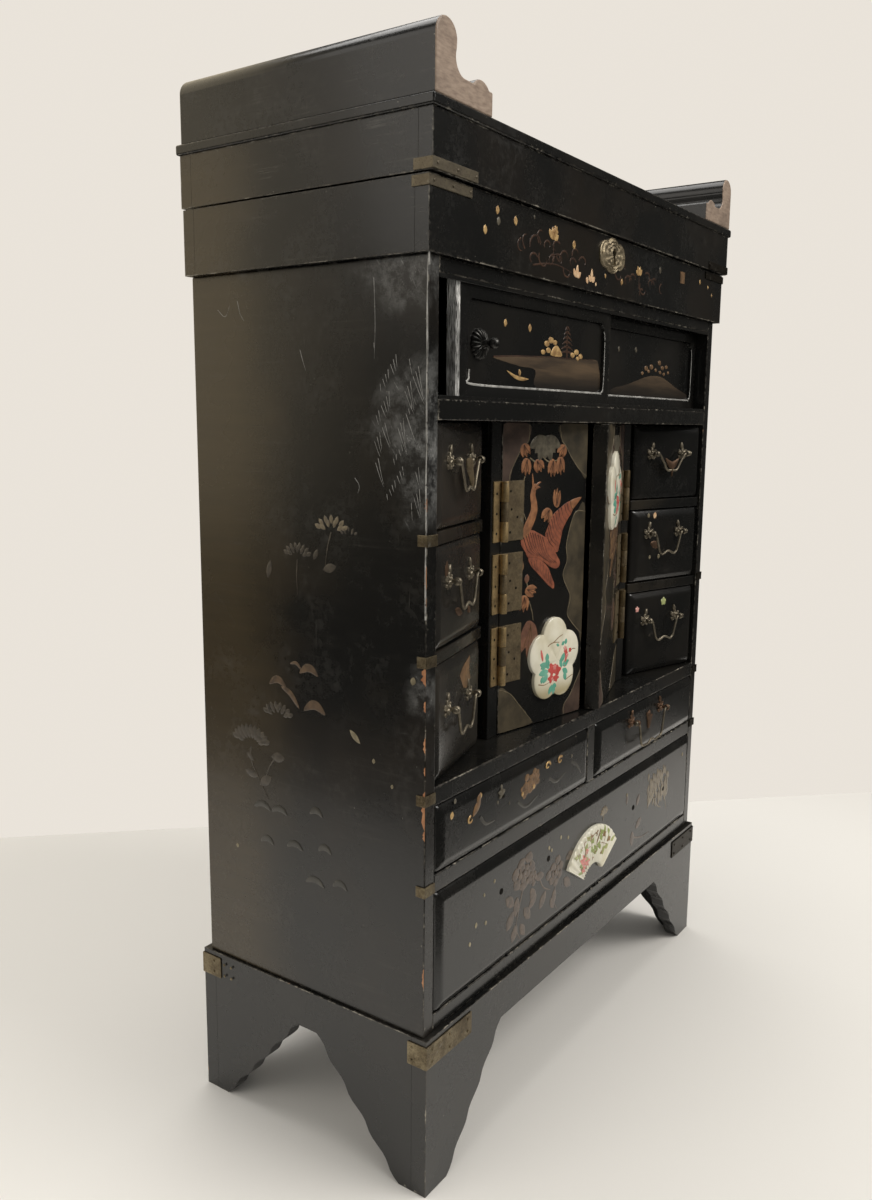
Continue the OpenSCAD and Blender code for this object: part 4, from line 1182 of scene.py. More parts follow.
@dataclass(frozen=True)
class Trim:
    """Nails on the straps and hinges, and the side legs of the rail clips."""

    left_clips: tuple[float, ...] = (180.9, 232.2, 307.4, 370.8)
    right_clips: tuple[float, ...] = (185.4, 231.3, 309.6)
    left_hinges: tuple[float, ...] = (289.0, 334.0, 378.0)
    right_hinges: tuple[float, ...] = (290.5, 333.0, 379.5)
    clip_half: float = 3.0
    clip_leg: float = 5.4

    def clips(self) -> None:
        """Bends each rail clip round the arris of the case."""
        shell = Shell()
        for face, sign, heights in ((LEFT_SIDE, 1, self.left_clips), (RIGHT_SIDE, -1, self.right_clips)):
            for z in heights:
                ends = sorted((sign * (-CASE_Y + SHEET), sign * (-CASE_Y - self.clip_leg)))
                shell.add(bar(face, tuple(ends), (z - self.clip_half, z + self.clip_half), (0.0, SHEET)))
                front = sorted((-sign * 191.8, -sign * 190.5))
                shell.add(bar(RAIL, tuple(front), (z - self.clip_half, z + self.clip_half), (0.0, SHEET)))
        make_piece("rail_clip_legs", shell, Gloss.STRAP.material(), "cabinet", smooth=False,
                   bevel=0.25)

    def strap_nails(self) -> None:
        """Nails on the straps of the base, the tray and the lid."""
        base_front = Face((0.0, CASE_Y - 3.5 - SHEET, 0.0), turned(0))
        base_left = Face((-193.0 - SHEET, 0.0, 0.0), turned(-90))
        base_right = Face((193.0 + SHEET, 0.0, 0.0), turned(90))
        shell = Shell()
        for sign in (-1, 1):
            shell.add(dots(base_front, [(sign * x, z) for x in (153, 171, 188) for z in (82, 89.5)], 0.9,
                0.6))
        shell.add(dots(base_left, [(u, z) for u in (76, -82, -72, -66) for z in (82, 89.5)], 0.9, 0.6))
        shell.add(dots(base_right, [(-u, z) for u in (76, -82, -72, -66) for z in (82, 89.5)], 0.9, 0.6))
        shell.add(dots(TRAY.proud(SHEET), [(s * x, 543.8) for s in (-1, 1) for x in (162, 177, 193)], 0.8,
            0.5))
        paint("strap_nails", shell, Gloss.STRAP, "cabinet")
        lid_front = Face((0.0, CASE_Y - 6.3 - SHEET, 0.0), turned(0))
        lid = dots(lid_front, [(s * x, 550.9) for s in (-1, 1) for x in (161, 177, 194)], 0.8, 0.5)
        paint("lid_strap_nails", lid, Gloss.STRAP, "lid")

    def hinge_nails(self) -> None:
        """Nails on the door leaves and on the leaves of the posts."""
        for body, face, sign, heights in (("door_left", LEFT_DOOR, 1, self.left_hinges),
                ("door_right", RIGHT_DOOR, -1, self.right_hinges)):
            shell = dots(face.proud(SHEET), [(sign * u, h + d) for h in heights for u,
                d in ((4.0, 0), (4.0, -13), (7.5, -13), (7.5, 12), (8.5, 1), (14, -4))], 0.8, 0.3)
            paint(body + "_hinge_nails", shell, Gloss.NAIL, body)
        post = Face((0.0, CASE_Y + 22.5 - SHEET, 0.0), turned(0))
        shell = Shell()
        for sign, heights in ((-1, self.left_hinges), (1, self.right_hinges)):
            shell.add(dots(post, [(sign * (84.8 + 5.8), h + d) for h in heights for d in (-13, -1, 11)], 0.8,
                0.3))
        paint("post_hinge_nails", shell, Gloss.NAIL, "cabinet")

    def build(self) -> None:
        """Makes all of the trim."""
        self.clips()
        self.strap_nails()
        self.hinge_nails()


# ---- lacquer pictures


@dataclass(frozen=True)
class DoorPicture:
    """The crane, clouds and leaves on one cupboard door, in distances from the hinge edge and heights.

    inside and cloud_inside are the lowest and highest points that lines and clouds are kept between.
    """

    body: str
    face: Face
    sign: int = 1
    inside: tuple[Pair, Pair] = ((0.5, 239.0), (83.1, 430.6))
    cloud_inside: tuple[Pair, Pair] = ((0.5, 238.6), (83.2, 431.0))
    clouds: tuple[tuple[Pair, ...], ...] = (((0.6, 430), (24.8, 430), (24, 420.6), (17.8, 415.8),
        (12.5, 408.7), (7.2, 400.3), (6.7, 395.5), (0.6, 395.7)), ((54.1, 430), (84.2, 430), (84.2, 397.1),
        (76, 401.2), (67.2, 409.1), (60.7, 416.8), (56.4, 420.6)), ((74.2, 374.5), (84.2, 374), (84.2, 291.5),
        (79.4, 294.3), (70.4, 302.3), (66.9, 308.1), (69.6, 318.5), (61.5, 332.7), (65.2, 342.9),
        (64.1, 353.5), (69.2, 368.9)), ((0.8, 266.9), (11.5, 262.4), (21.4, 252.7), (32.7, 241.2),
        (30.9, 239), (0.8, 239)), ((84, 266), (83.1, 264.7), (72.8, 251.1),
        (66.6, 245.4), (66, 239), (84, 239)))

    def p(self, points: Points) -> list[Pair]:
        """Points of the left door's picture, mirrored for the right door and kept on the board."""
        (near, low), (far, high) = self.inside
        return [(self.sign * min(max(u, near), far), min(max(z, low), high)) for u, z in points]

    def ragged(self) -> list[list[Pair]]:
        """The cloud patches' own edges, without the stretches along the edges of the door."""
        a, b, c, d, e = self.clouds
        return [[*a[1:7], (0.8, 395.7)], [b[0], *b[:1:-1]], [c[1], c[0], *c[:1:-1]], [(1.0, 266.9), *d[1:4]],
                [e[0], *e[2:5]]]

    def crane(self) -> tuple[Shell, Shell]:
        """Body, tail and wing; and neck, head, beak, crest and wing tip, which are paler."""
        parts = ([(25.9, 347.6), (29, 342.2), (36.1, 336.5), (46.4, 328.3), (51.6, 325.5), (52.5, 328.3),
                  (49.2, 333.9), (45.5, 340), (38, 345.5), (31, 349)], [(42, 360.9), (44.8, 366.5),
            (48.5, 372.7), (56.4, 377.4), (66.6, 381.4), (69.5, 376), (64, 369.2), (60.1, 364.2),
            (58.3, 359.2), (56.5, 352.8), (54.6, 349), (49, 351), (44, 356)], [(18.8, 360.6), (18.9, 356.3),
            (22.9, 351.6), (25.9, 347.6), (33, 346.8), (41.7, 343.5), (47, 340.5), (52, 338.6), (56.1, 339.1),
            (57.6, 342.3), (54.7, 346.4), (49.3, 353.3), (43.1, 358.9), (35, 362.7),
            (28.1, 365), (22, 363.5)])
        red = Shell()
        for k, part in enumerate(parts):
            red.add(plates(self.face, [smooth_outline(self.p(part))], 0.18 + 0.06 * k, 0.5 + 0.12 * k))
        tip = [(64, 379.5), (66.6, 381.4), (72, 383), (78.1, 383.5), (76.1, 381), (68.9, 375.4),
               (66.5, 372.5)]
        head = [(27.3, 387.5), (27.8, 391), (29.6, 393.6), (32.6, 393.4), (33.2, 391), (31, 389), (29.8, 386)]
        pale = plates(self.face, [smooth_outline(self.p(c)) for c in (tip, head)], 0.2, 0.5)
        neck = [(22.5, 360.5), (24.6, 366.6), (27.8, 371.3), (30.2, 376.2), (30.3, 381.1), (28.9, 386.2),
                (29.8, 391)]
        pale.add(line_on(self.face, self.p(neck), 7.4, 0.55, taper=0.45))
        for a, b in (((29.0, 392.5), (28.0, 400.0)), ((32.2, 392.6), (36.4, 394.6)),
                ((32.2, 391), (35.8, 391.4))):
            pale.add(line_on(self.face, self.p([a, ((a[0] + b[0]) / 2, (a[1] + b[1]) / 2 + 0.3), b]), 1.9,
                0.4))
        return red, pale

    def feathers(self) -> Shell:
        """Engraved lines of the plumage, across the wing and along body and tail."""
        rows = (([(43, 362), (46.5, 369), (52, 375), (60, 379), (68, 381.5)],
                 [(50, 352), (56.5, 354.5), (59.5, 362.5), (65, 371), (70, 376.5)], 11, 0.0, 0.62),
                ([(20, 360.5), (27, 363.5), (35, 361.5), (43, 357.5)], [(27, 348.5), (38, 346.5), (48, 341.5),
            (56, 341)], 9, 0.12, 0.74), ([(28, 345), (36, 345), (45, 338), (50.5, 331)],
            [(30.5, 342), (36.5, 337.5), (44.5, 331), (51, 327)], 8, 0.1, 0.5))
        shell = Shell()
        for front, back, count, lag, height in rows:
            a, b = smooth_line(front, 12), smooth_line(back, 12)
            for share in np.linspace(0.04, 0.96 - lag, count):
                start, end = a[int(share * (len(a) - 1))], b[int((share + lag) * (len(b) - 1))]
                middle = 0.5 * (start + end) + 0.12 * (end - start)[::-1] * np.array([1.0, -1.0])
                line = [tuple(p) for p in (start, middle, 0.06 * start + 0.94 * end)]
                shell.add(line_on(self.face, self.p(line), 0.55, height, taper=0.6))
        return shell.add(dots(self.face, self.p([(31.2, 391.3)]), 0.5, 0.8))

    def leaves(self, places: Sequence[tuple[float, float, float, float, float]]) -> tuple[Shell, Shell]:
        """Drooping leaves with three points, given as (u, z, width, height, turn), and their veins."""
        unit = np.array([(0, 0.5), (0.3, 0.4), (0.5, 0.1), (0.47, -0.2), (0.36, -0.44), (0.18, -0.22),
            (0.02, -0.54), (-0.16, -0.24), (-0.34, -0.42), (-0.48, -0.12), (-0.46, 0.16), (-0.26, 0.44)])
        body, veins = Shell(), Shell()
        for u, z, wide, tall, turn in places:
            a = math.radians(turn)
            spin = np.array([[math.cos(a), math.sin(a)], [-math.sin(a), math.cos(a)]])
            outline = smooth_outline(unit, 4) @ spin * [wide, tall] + [u, z]
            body.add(plate(self.face, np.array(self.p(outline.tolist())), 0.15, 0.42))
            for tip in ((0.02, -0.44), (0.34, -0.34), (-0.32, -0.32)):
                line = (np.array([(0.0, 0.4), (tip[0] * 0.6, tip[1] * 0.4), tip]) @ spin * [wide, tall]
                        + [u, z]).tolist()
                veins.add(line_on(self.face, self.p(line), 0.5, 0.55, taper=0.6))
        return body, veins

    def ground(self) -> None:
        """Makes the cloud patches, and their outlines with the stems of the leaves."""
        low, high = self.cloud_inside
        shapes = [np.clip(smooth_outline(self.p(c), 5) * [self.sign, 1], low, high) * [self.sign, 1]
                  for c in self.clouds]
        for name, gloss, picked in (("_red_clouds", Gloss.CLOUD_RED, (0, 4)),
                ("_clouds", Gloss.CLOUD, (1, 2, 3))):
            paint(self.body + name, plates(self.face, [shapes[k] for k in picked], 0.06, 0.1), gloss,
                  self.body)
        stems = ([(21.2, 398.5), (17.8, 389.1), (18, 381.7), (23, 371.5)],
                 [(25.5, 409.7), (31, 407.5), (37, 410.8)], [(37, 410.8), (44, 407), (52, 408)],
                 [(24.4, 335), (26, 328), (24, 323)], [(27.9, 320), (31, 312.5), (32.2, 307)])
        rims = Shell()
        for lines, width, height, taper in ((self.ragged(), 0.6, 0.2, 0.2), (stems, 0.9, 0.24, 0.4)):
            for line in lines:
                rims.add(line_on(self.face, self.p(line), width, height, taper=taper))
        paint(self.body + "_outlines", rims, Gloss.OUTLINE, self.body)

    def build(self) -> None:
        """Makes the picture's pieces; the right door's are in darker finishes."""
        left = self.sign > 0
        self.ground()
        ribs = Shell()
        for k in range(7):
            rib = leaf_outline((40.0, 423.0), 14.5 if k % 2 else 17.0, 7.6, 204 + 22 * k, 14)
            ribs.add(plate(self.face, np.array(self.p(rib.tolist())), 0.15, 0.6))
        paint(self.body + "_top_flower", ribs, Gloss.ASH, self.body)
        red, pale = self.crane()
        paint(self.body + "_crane", red, Gloss.CORAL if left else Gloss.OLD_GOLD, self.body)
        paint(self.body + "_crane_neck", pale, Gloss.ORANGE if left else Gloss.OLD_GOLD, self.body)
        paint(self.body + "_feathers", self.feathers(), Gloss.INK, self.body)
        body, veins = self.leaves(((20.7, 414.5, 9.5, 8.5, 20), (22, 404.4, 9.5, 10.5, -8),
            (34, 404.8, 10, 8.5, 28), (47.2, 403.3, 8.8, 11, -14), (55.4, 404.4, 9.0, 11.5, 8),
            (56.8, 413.9, 9.5, 8, -35), (52.9, 383.9, 8, 12, 176), (43.3, 373.6, 11, 9, -28),
            (29.2, 326.3, 11, 8, 65), (22.7, 318.9, 10, 10.5, -5)))
        paint(self.body + "_leaves", body, Gloss.ORANGE if left else Gloss.FAINT, self.body)
        paint(self.body + "_veins", veins, Gloss.INK, self.body)
        low, gold = self.leaves(((28.5, 295.5, 17, 23, -12),))
        low.add(plates(self.face, [np.array(self.p(leaf_outline((24.6, 331.5), 6, 4.5, 80).tolist()))], 0.15,
            0.4))
        paint(self.body + "_dark_leaf", low, Gloss.RUST if left else Gloss.CLOUD_RED, self.body)
        gold.add(plates(self.face, [np.array(self.p(leaf_outline((19.5, 338.5), 8.5, 4.2, 86).tolist()))],
            0.15, 0.4))
        paint(self.body + "_gold_leaf", gold, Gloss.OLD_GOLD, self.body)


def blossoms(face: Face, spots: Sequence[Triple], petals: int = 4, thick: float = 0.35) -> Shell:
    """Small flowers (u, z, radius) on a face, as one shell.

    Below a radius of 3 mm a flower is one upright bud; above it, petals fan upward from its foot over
    150 degrees, the middle ones longest.
    """
    shell = Shell()
    for i, (u, z, r) in enumerate(spots):
        if r < 3 or petals < 2:
            shell.add(plate(face, leaf_outline((u, z - 0.9 * r), 1.8 * r, 1.35 * r,
                90 + 11 * (i % 3 - 1), 12), 0.1, thick))
            continue
        for k in range(petals):
            share = (k + 0.5) / petals - 0.5
            start = (u + 0.5 * r * share, z - 0.75 * r)
            length = r * (1.65 - 1.1 * abs(share)) * (1 + 0.12 * math.sin(5 * i + 3 * k))
            shell.add(plate(face, leaf_outline(start, length, 0.72 * r, 90 - 125 * share
                + 8 * (i % 3 - 1), 14), 0.1, thick))
    return shell


def curl(u: float, z: float, r: float, start: float, sweep_by: float) -> list[Pair]:
    """Points of a scroll: its radius falls from r to 0.3 r while it turns by sweep_by degrees."""
    t = np.linspace(0, 1, 9)
    a = np.radians(start + sweep_by * t)
    reach = r * (1 - 0.7 * t)
    return [tuple(p) for p in np.stack([u + reach * np.cos(a), z + 0.8 * reach * np.sin(a)], axis=1)]


def strokes(face: Face, lines: Sequence[Points], width: float = 0.9, height: float = 0.22) -> Shell:
    """Drawn lines on a face, as one shell."""
    return joined(line_on(face, line, width, height) for line in lines)


def peony(face: Face, u: float, z: float, r: float, turn: float = 0.0, squash: float = 0.85) -> Shell:
    """An open peony as separate petals: an outer ring of seven, an inner ring of five, and a heart."""
    shell = Shell()
    for count, near, far, width in ((7, 0.42, 1.0, 0.62), (5, 0.12, 0.55, 0.42)):
        for k in range(count):
            a = math.radians(turn) + 2 * math.pi * (k + 0.5 * (count == 5)) / count
            reach = r * (0.88 + 0.2 * math.sin(3.0 * k + turn))
            start = (near * reach * math.cos(a), near * reach * math.sin(a))
            o = leaf_outline(start, (far - near) * reach, width * r, math.degrees(a), 14)
            o[:, 1] *= squash
            shell.add(plate(face, o + [u, z], 0.08, 0.22))
    return shell.add(plate(face, circle(0.16 * r, 8) + [u, z], 0.1, 0.4))


def umbel(face: Face, u: float, z: float, wide: float, petals: int = 9, tilt: float = 0.0) -> Shell:
    """A flower head seen from the side: petals fanned upward in two ranks from one point."""
    shell = Shell()
    for rank, reach in ((0, 1.0), (1, 0.62)):
        for k in range(petals - 3 * rank):
            share = (k + 0.5) / (petals - 3 * rank) - 0.5
            a = math.radians(90 + tilt - 150 * share)
            start = (u + 0.5 * reach * wide * math.cos(a) * 0.95, z + 0.3 * reach * wide * math.sin(a))
            shell.add(plate(face, leaf_outline(start, 0.3 * wide, 0.16 * wide, math.degrees(a), 10), 0.08,
                0.24))
    return shell


@dataclass(frozen=True)
class GiltWork:
    """The gilt flowers and marks on the tray, the sliding panels and the drawers."""

    def tray(self) -> None:
        """Flowers, scrolls and the square mark on the tray."""
        tray = [(-135.8, 540.2, 2.6), (-146.9, 528.6, 2.8), (-116.6, 537.7, 2.8), (-75.2, 538.1, 5.2),
                (-50.4, 535, 2.8), (42, 532, 4.2), (15.5, 521.7, 2.4), (-8, 522.5, 1.6), (150.5, 537.4, 2.0),
                (166.5, 535.5, 1.4), (175.3, 530.4, 1.4)]
        shell = blossoms(TRAY, tray).add(plate(TRAY, petal_outline((-73.5, 539), 3.4, 4, 0.4), 0.1, 0.7))
        paint("tray_flowers", shell, Gloss.GOLD, "cabinet")
        bright = [(-46, 520.3, 4.6), (-26.5, 519.8, 4.4), (-32, 517, 2.4), (-21, 516, 1.4)]
        paint("tray_bright_flowers", blossoms(TRAY, bright, 3), Gloss.BRIGHT, "cabinet")
        paint("tray_mark", bar(TRAY, (112.0, 120.0), (532.3, 540.4), (0, 0.25)), Gloss.OLD_GOLD, "cabinet")
        grey = [(-134.6, 534.8, 2.6), (76.1, 536.6, 2.6), (-97, 543, 1.4)]
        paint("tray_grey_buds", blossoms(TRAY, grey), Gloss.ASH, "cabinet")
        curls = ((-93, 529, 9, 200, -200), (-85, 522, 7, 150, 220), (-76, 521, 8, 20, 200),
                 (-68, 523, 7, 190, -230), (-60, 526, 8, 210, -190), (-57, 519, 6, 160, 210),
                 (-98, 520, 6, 30, 200), (-47, 530, 6, 200, -180), (-38, 526, 6, 170, -200),
                 (-88, 535, 7, 240, -150), (-104, 531, 8, 250, -120), (12, 526, 7, 150, 200),
                 (24, 522, 7, 30, 200), (34, 525, 7, 200, -190), (50, 521, 7, 150, 210),
                 (60, 524, 7, 20, 180), (68, 527, 6, 200, -160), (4, 533, 5, 210, -160),
                 (80, 523, 6, 100, 160), (46, 517, 5, 60, 160), (-72, 530, 6, 40, 200),
                 (-52, 524, 5, 20, 220), (-81, 530, 5, 200, -220), (-110, 525, 6, 100, 170),
                 (18, 530, 5, 190, -200), (56, 529, 5, 150, -190))
        stalks = [[(-98, 517.5), (-84, 520), (-70, 521), (-52, 519)], [(-76, 521), (-75, 528), (-74.5, 533)],
                  [(42, 520), (42, 525), (42, 529)]]
        scrolls = strokes(TRAY, [curl(*c) for c in curls], 1.3, 0.15).add(strokes(TRAY, stalks, 1.0, 0.14))
        paint("tray_scrolls", scrolls, Gloss.SCROLL, "cabinet")

    def left_panel(self) -> None:
        """Shore, pine and boat on the left sliding door."""
        door = "sliding_door_left"
        ground = [(-125.4, 466.2), (-104, 467.8), (-84, 468.6), (-70, 469.6), (-45, 469.8), (-20, 470.6),
                  (-3, 471.6), (2, 468), (4, 452.4), (-25, 451.6), (-77, 451.2), (-79, 461.2), (-96, 462.6),
                  (-112, 464.2)]
        paint("left_panel_shore", plate(LEFT_PANEL, smooth_outline(ground, 4), 0.06, 0.12), Gloss.SHORE, door)
        line = [(-125, 466.3), (-104, 467.9), (-84, 468.8), (-60, 469.9), (-30, 470.6), (-6, 471.4)]
        tree = [[(-41, 469.5), (-41.4, 479), (-41.8, 489.6)]]
        for k, wide in enumerate((8.5, 7.6, 6.6, 5.4, 4.2, 2.8)):
            z = 473 + 2.9 * k
            tree.extend([[(-41.2, z + 1.4), (-41.2 + 0.5 * w, z + 0.8), (-41.2 + w, z - 0.6)]
                for w in (-wide, wide)])
        paint("left_panel_pine", strokes(LEFT_PANEL, tree, 1.5, 0.2).add(strokes(LEFT_PANEL, [line], 0.8)),
              Gloss.SCROLL, door)
        rounds = [(-61.3, 479.6, 3.0), (-66.3, 477.3, 2.8), (-70.5, 472.2, 2.4), (-64.3, 473.6, 2.6),
                  (-56.4, 478.6, 2.4), (-34, 472.6, 2.6), (-29, 474.6, 2.8), (-23.4, 472.4, 2.6),
                  (-27, 470.9, 2.0)]
        boat = plates(LEFT_PANEL, [circle(0.85 * r) * [1.25, 0.75] + [u, z] for u, z, r in rounds], 0.1, 0.55)
        island = [(-61, 471), (-58.5, 475.4), (-54, 477), (-49.5, 474.6), (-48, 471)]
        boat.add(plate(LEFT_PANEL, smooth_outline(island), 0.1, 0.5))
        hull = [(-111.1, 459.6), (-102, 456.6), (-94, 455.6), (-86.6, 455.8)]
        boat.add(line_on(LEFT_PANEL, hull, 2.2, 0.4, belly=True))
        boat.add(blossoms(LEFT_PANEL, [(-113.5, 485.3, 2.5), (-86.4, 484.7, 2.6), (-96.4, 459.2, 2.2)]))
        paint("left_panel_gold", boat, Gloss.GOLD, door)

    def right_panel(self) -> None:
        """Shore and trees on the right sliding door."""
        door = "sliding_door_right"
        mound = [(40, 455.4), (60, 458.4), (84, 463.4), (100, 466.2), (118, 466.6), (134, 463.6),
                 (150, 459.4), (171, 455), (171.5, 451.4), (100, 451.2), (40, 451.6)]
        paint("right_panel_shore", plate(RIGHT_PANEL, smooth_outline(mound, 4), 0.06, 0.12), Gloss.SHORE,
              door)
        rounds = [(86.6, 467.6, 1.8), (93, 471.4, 2.4), (102, 472.8, 2.6), (97.6, 469.4, 1.8),
                  (116.4, 476.4, 2.4), (110, 471, 1.8), (122, 473, 2.2), (129.2, 474, 2.0), (125, 468.6, 1.8),
                  (133, 470, 1.6), (118, 469.6, 1.8)]
        shell = plates(RIGHT_PANEL, [circle(r, 12) * [1.25, 0.75] + [u, z] for u, z, r in rounds], 0.1, 0.5)
        paint("right_panel_gold", shell, Gloss.OLD_GOLD, door)
        paint("right_panel_buds", blossoms(RIGHT_PANEL, [(46.4, 482, 2.4), (74.3, 483.2, 2.4)]), Gloss.ASH,
              door)

    def left_middle_drawer(self) -> None:
        """Peonies, curls and shadows on the long middle drawer."""
        body = "drawer_pair_left"
        flowers = ((-84, 211.5, 9.5, 20), (-77.5, 214, 7.5, 50), (-89.5, 209, 6.5, 0))
        shell = joined(peony(FRONT, *row) for row in flowers)
        paint("left_middle_drawer_flower", shell, Gloss.OLD_GOLD, body)
        twig = plate(FRONT, leaf_outline((-148, 210.5), 12, 5.0, 46, 16), 0.1, 0.6)
        twig.add(plate(FRONT, leaf_outline((-143.4, 216.4), 7, 4.2, 62, 14), 0.1, 0.6))
        paint("left_middle_drawer_leaf_gilt", twig, Gloss.OLD_GOLD, body)
        curls = ((-62.1, 216.9, 3.4, 0, 340), (-46, 216.4, 3.2, 40, 340), (-150, 209.5, 3.0, 90, 300))
        gold = strokes(FRONT, [curl(*c) for c in curls], 1.6, 0.5)
        gold.add(blossoms(FRONT, [(-169.1, 218, 2.6), (-140, 220.8, 2.2),
            (-92.5, 207.5, 2.0), (-79.5, 208.5, 2.2)]))
        paint("left_middle_drawer_gilt", gold, Gloss.GOLD, body)
        marks = blossoms(FRONT, [(-166, 225.4, 1.8), (-117.4, 219.6, 1.6), (-121, 211, 1.4),
            (-30, 214.6, 1.6), (-108, 206.4, 1.2)])
        marks.add(plate(FRONT, petal_outline((-117.4, 215.6), 3.8, 5, 0.4), 0.2, 1.2))
        paint("left_middle_drawer_marks", marks, Gloss.ASH, body)
        faint = ([(-98, 204), (-88, 198), (-74, 201)], [(-60, 208), (-50, 203), (-38, 206)],
                 [(-30, 211), (-22, 206), (-16, 199)], [(-140, 208), (-134, 202), (-124, 201)])
        paint("left_middle_drawer_shadows", strokes(FRONT, faint, 2.4, 0.12), Gloss.SHADE, body)

    def wide_drawer(self) -> None:
        """Peonies, wisteria and pale marks on the full-width drawer."""
        body = "drawer_wide"
        flowers = ((-88.3, 154.7, 17, 10, 0.8), (-78, 148, 8, 30), (-48, 140, 13, 70))
        shell = joined(peony(FRONT, *row) for row in flowers)
        foliage = ((-110, 146, 13, 7, -40), (-96, 142, 13, 7, -100), (-80, 141, 13, 7, -60),
                   (-100, 134, 13, 8, -130), (-88, 131, 13, 7, -50), (-72, 134, 12, 6, -150),
                   (-60, 132, 13, 7, -130), (-36, 131, 13, 7, -40), (-48, 129, 12, 6, -100),
                   (-63, 144, 12, 6, 170), (-34, 144, 11, 6, 10), (-96, 124, 12, 7, -120),
                   (-92, 122, 11, 6, -60), (-54, 124, 10, 5, -60), (72.2, 128, 12, 7, -90),
                   (88, 134, 12, 6, -150), (60, 152, 9, 4, 80), (78, 146, 10, 5, 60))
        shell.add(leaves(FRONT, foliage, 14))
        stems = ([(-88, 148), (-93, 136), (-97, 122), (-92, 112)], [(-46, 132), (-50, 122), (-44, 112)],
                 [(72, 123), (88, 118), (104, 117)], [(-70, 146), (-64, 136), (-54, 130)])
        paint("wide_drawer_peonies", shell.add(strokes(FRONT, stems, 1.5, 0.15)), Gloss.FAINT, body)
        rows = [(99 + 38 * ((k * 0.618) % 1), 166 - 24 * ((k * 0.37) % 1), 7 + 4 * ((k * 0.71) % 1), 3.2,
                 -90 + 26 * math.sin(2.1 * k)) for k in range(64)]
        shell = leaves(FRONT, rows, crown=0.24)
        shell.add(strokes(FRONT, [[(112, 142), (118, 134), (126, 130)], [(128, 142), (134, 133), (136, 126)]],
            1.6, 0.15))
        shell.add(leaves(FRONT, [(22.6, 157.5, 6.5, 2.6, 15 + 25 * k) for k in range(7)], crown=0.3))
        shell.add(strokes(FRONT, [[(22.6, 159), (21.6, 156), (20.6, 153)]], 1.8, 0.2))
        paint("wide_drawer_wisteria", shell, Gloss.FAINT_GOLD, body)
        pale = [(-142.9, 142.6, 2.0), (-132.1, 139.8, 1.8), (-148.6, 133.5, 1.8), (-123.3, 162.5, 1.6),
                (-134.2, 158, 1.4), (-53.3, 157.3, 1.7), (-41.8, 161.9, 1.8), (-31.2, 158.3, 1.6),
                (60.6, 160.2, 1.8), (166, 163, 2.0), (-57, 160, 1.8)]
        paint("wide_drawer_marks", blossoms(FRONT, pale, 2), Gloss.PALE, body)

    def lost_handles(self) -> None:
        """What is left of the handles of the two longest drawers."""
        holes = [(-115.1, 152.9), (-57.5, 152.9), (72.4, 146.6), (128.4, 144.8)]
        paint("wide_drawer_plugs", dots(FRONT, holes, 2.0, 0.35), Gloss.NAIL, "drawer_wide")
        paint("left_middle_drawer_stub", dots(FRONT, [(-116.3, 213.6)], 1.6, 1.6), Gloss.NAIL,
              "drawer_pair_left")

    def small_drawers(self) -> None:
        """Leaves and dots on the small drawers."""
        petal = np.array([(38.5, 290), (44, 294), (56, 298), (55, 290), (57.5, 284.5),
            (50, 280), (45, 281.5)])
        paint("left_low_drawer_petal", plate(LEFT_SMALL, petal, 0.2, 0.5), Gloss.OLD_GOLD, "drawer_left_low")
        leaf = plate(LEFT_SMALL, leaf_outline((29, 329.5), 13, 4.5, -20), 0.2, 0.8)
        leaf.add(plate(LEFT_SMALL, leaf_outline((13.5, 349), 9, 5, 80), 0.2, 0.6))
        leaf.add(plate(LEFT_SMALL, leaf_outline((51, 328), 6, 4, -50), 0.2, 0.8))
        paint("left_middle_drawer_leaf", leaf, Gloss.COPPER, "drawer_left_mid")
        leaf = plate(RIGHT_SMALL, leaf_outline((-59, 341), 13, 6, -15), 0.2, 0.8)
        paint("right_middle_drawer_leaf", leaf, Gloss.COPPER, "drawer_right_mid")
        spots = [(-59.2, 330, 1.9), (-48.1, 329.8, 2.2), (-61.8, 362.4, 2.2)]
        paint("right_middle_drawer_marks", blossoms(RIGHT_SMALL, spots), Gloss.PALE, "drawer_right_mid")
        paint("right_middle_drawer_dot", blossoms(RIGHT_SMALL, [(-55.2, 362.2, 2.9)]), Gloss.BRIGHT,
              "drawer_right_mid")
        dot = plate(RIGHT_SMALL, petal_outline((-39.5, 293.3), 3.4, 5, 0.25), 0.15, 0.6)
        paint("right_low_drawer_dot", dot, Gloss.OLIVE, "drawer_right_low")
        dot = plate(RIGHT_SMALL, petal_outline((-71.2, 289.9), 2.4, 5, 0.25), 0.15, 0.5)
        paint("right_low_drawer_pink_dot", dot, Gloss.PINK, "drawer_right_low")

    def build(self) -> None:
        """Makes all of the gilt work."""
        self.tray()
        self.left_panel()
        self.right_panel()
        self.left_middle_drawer()
        self.wide_drawer()
        self.lost_handles()
        self.small_drawers()


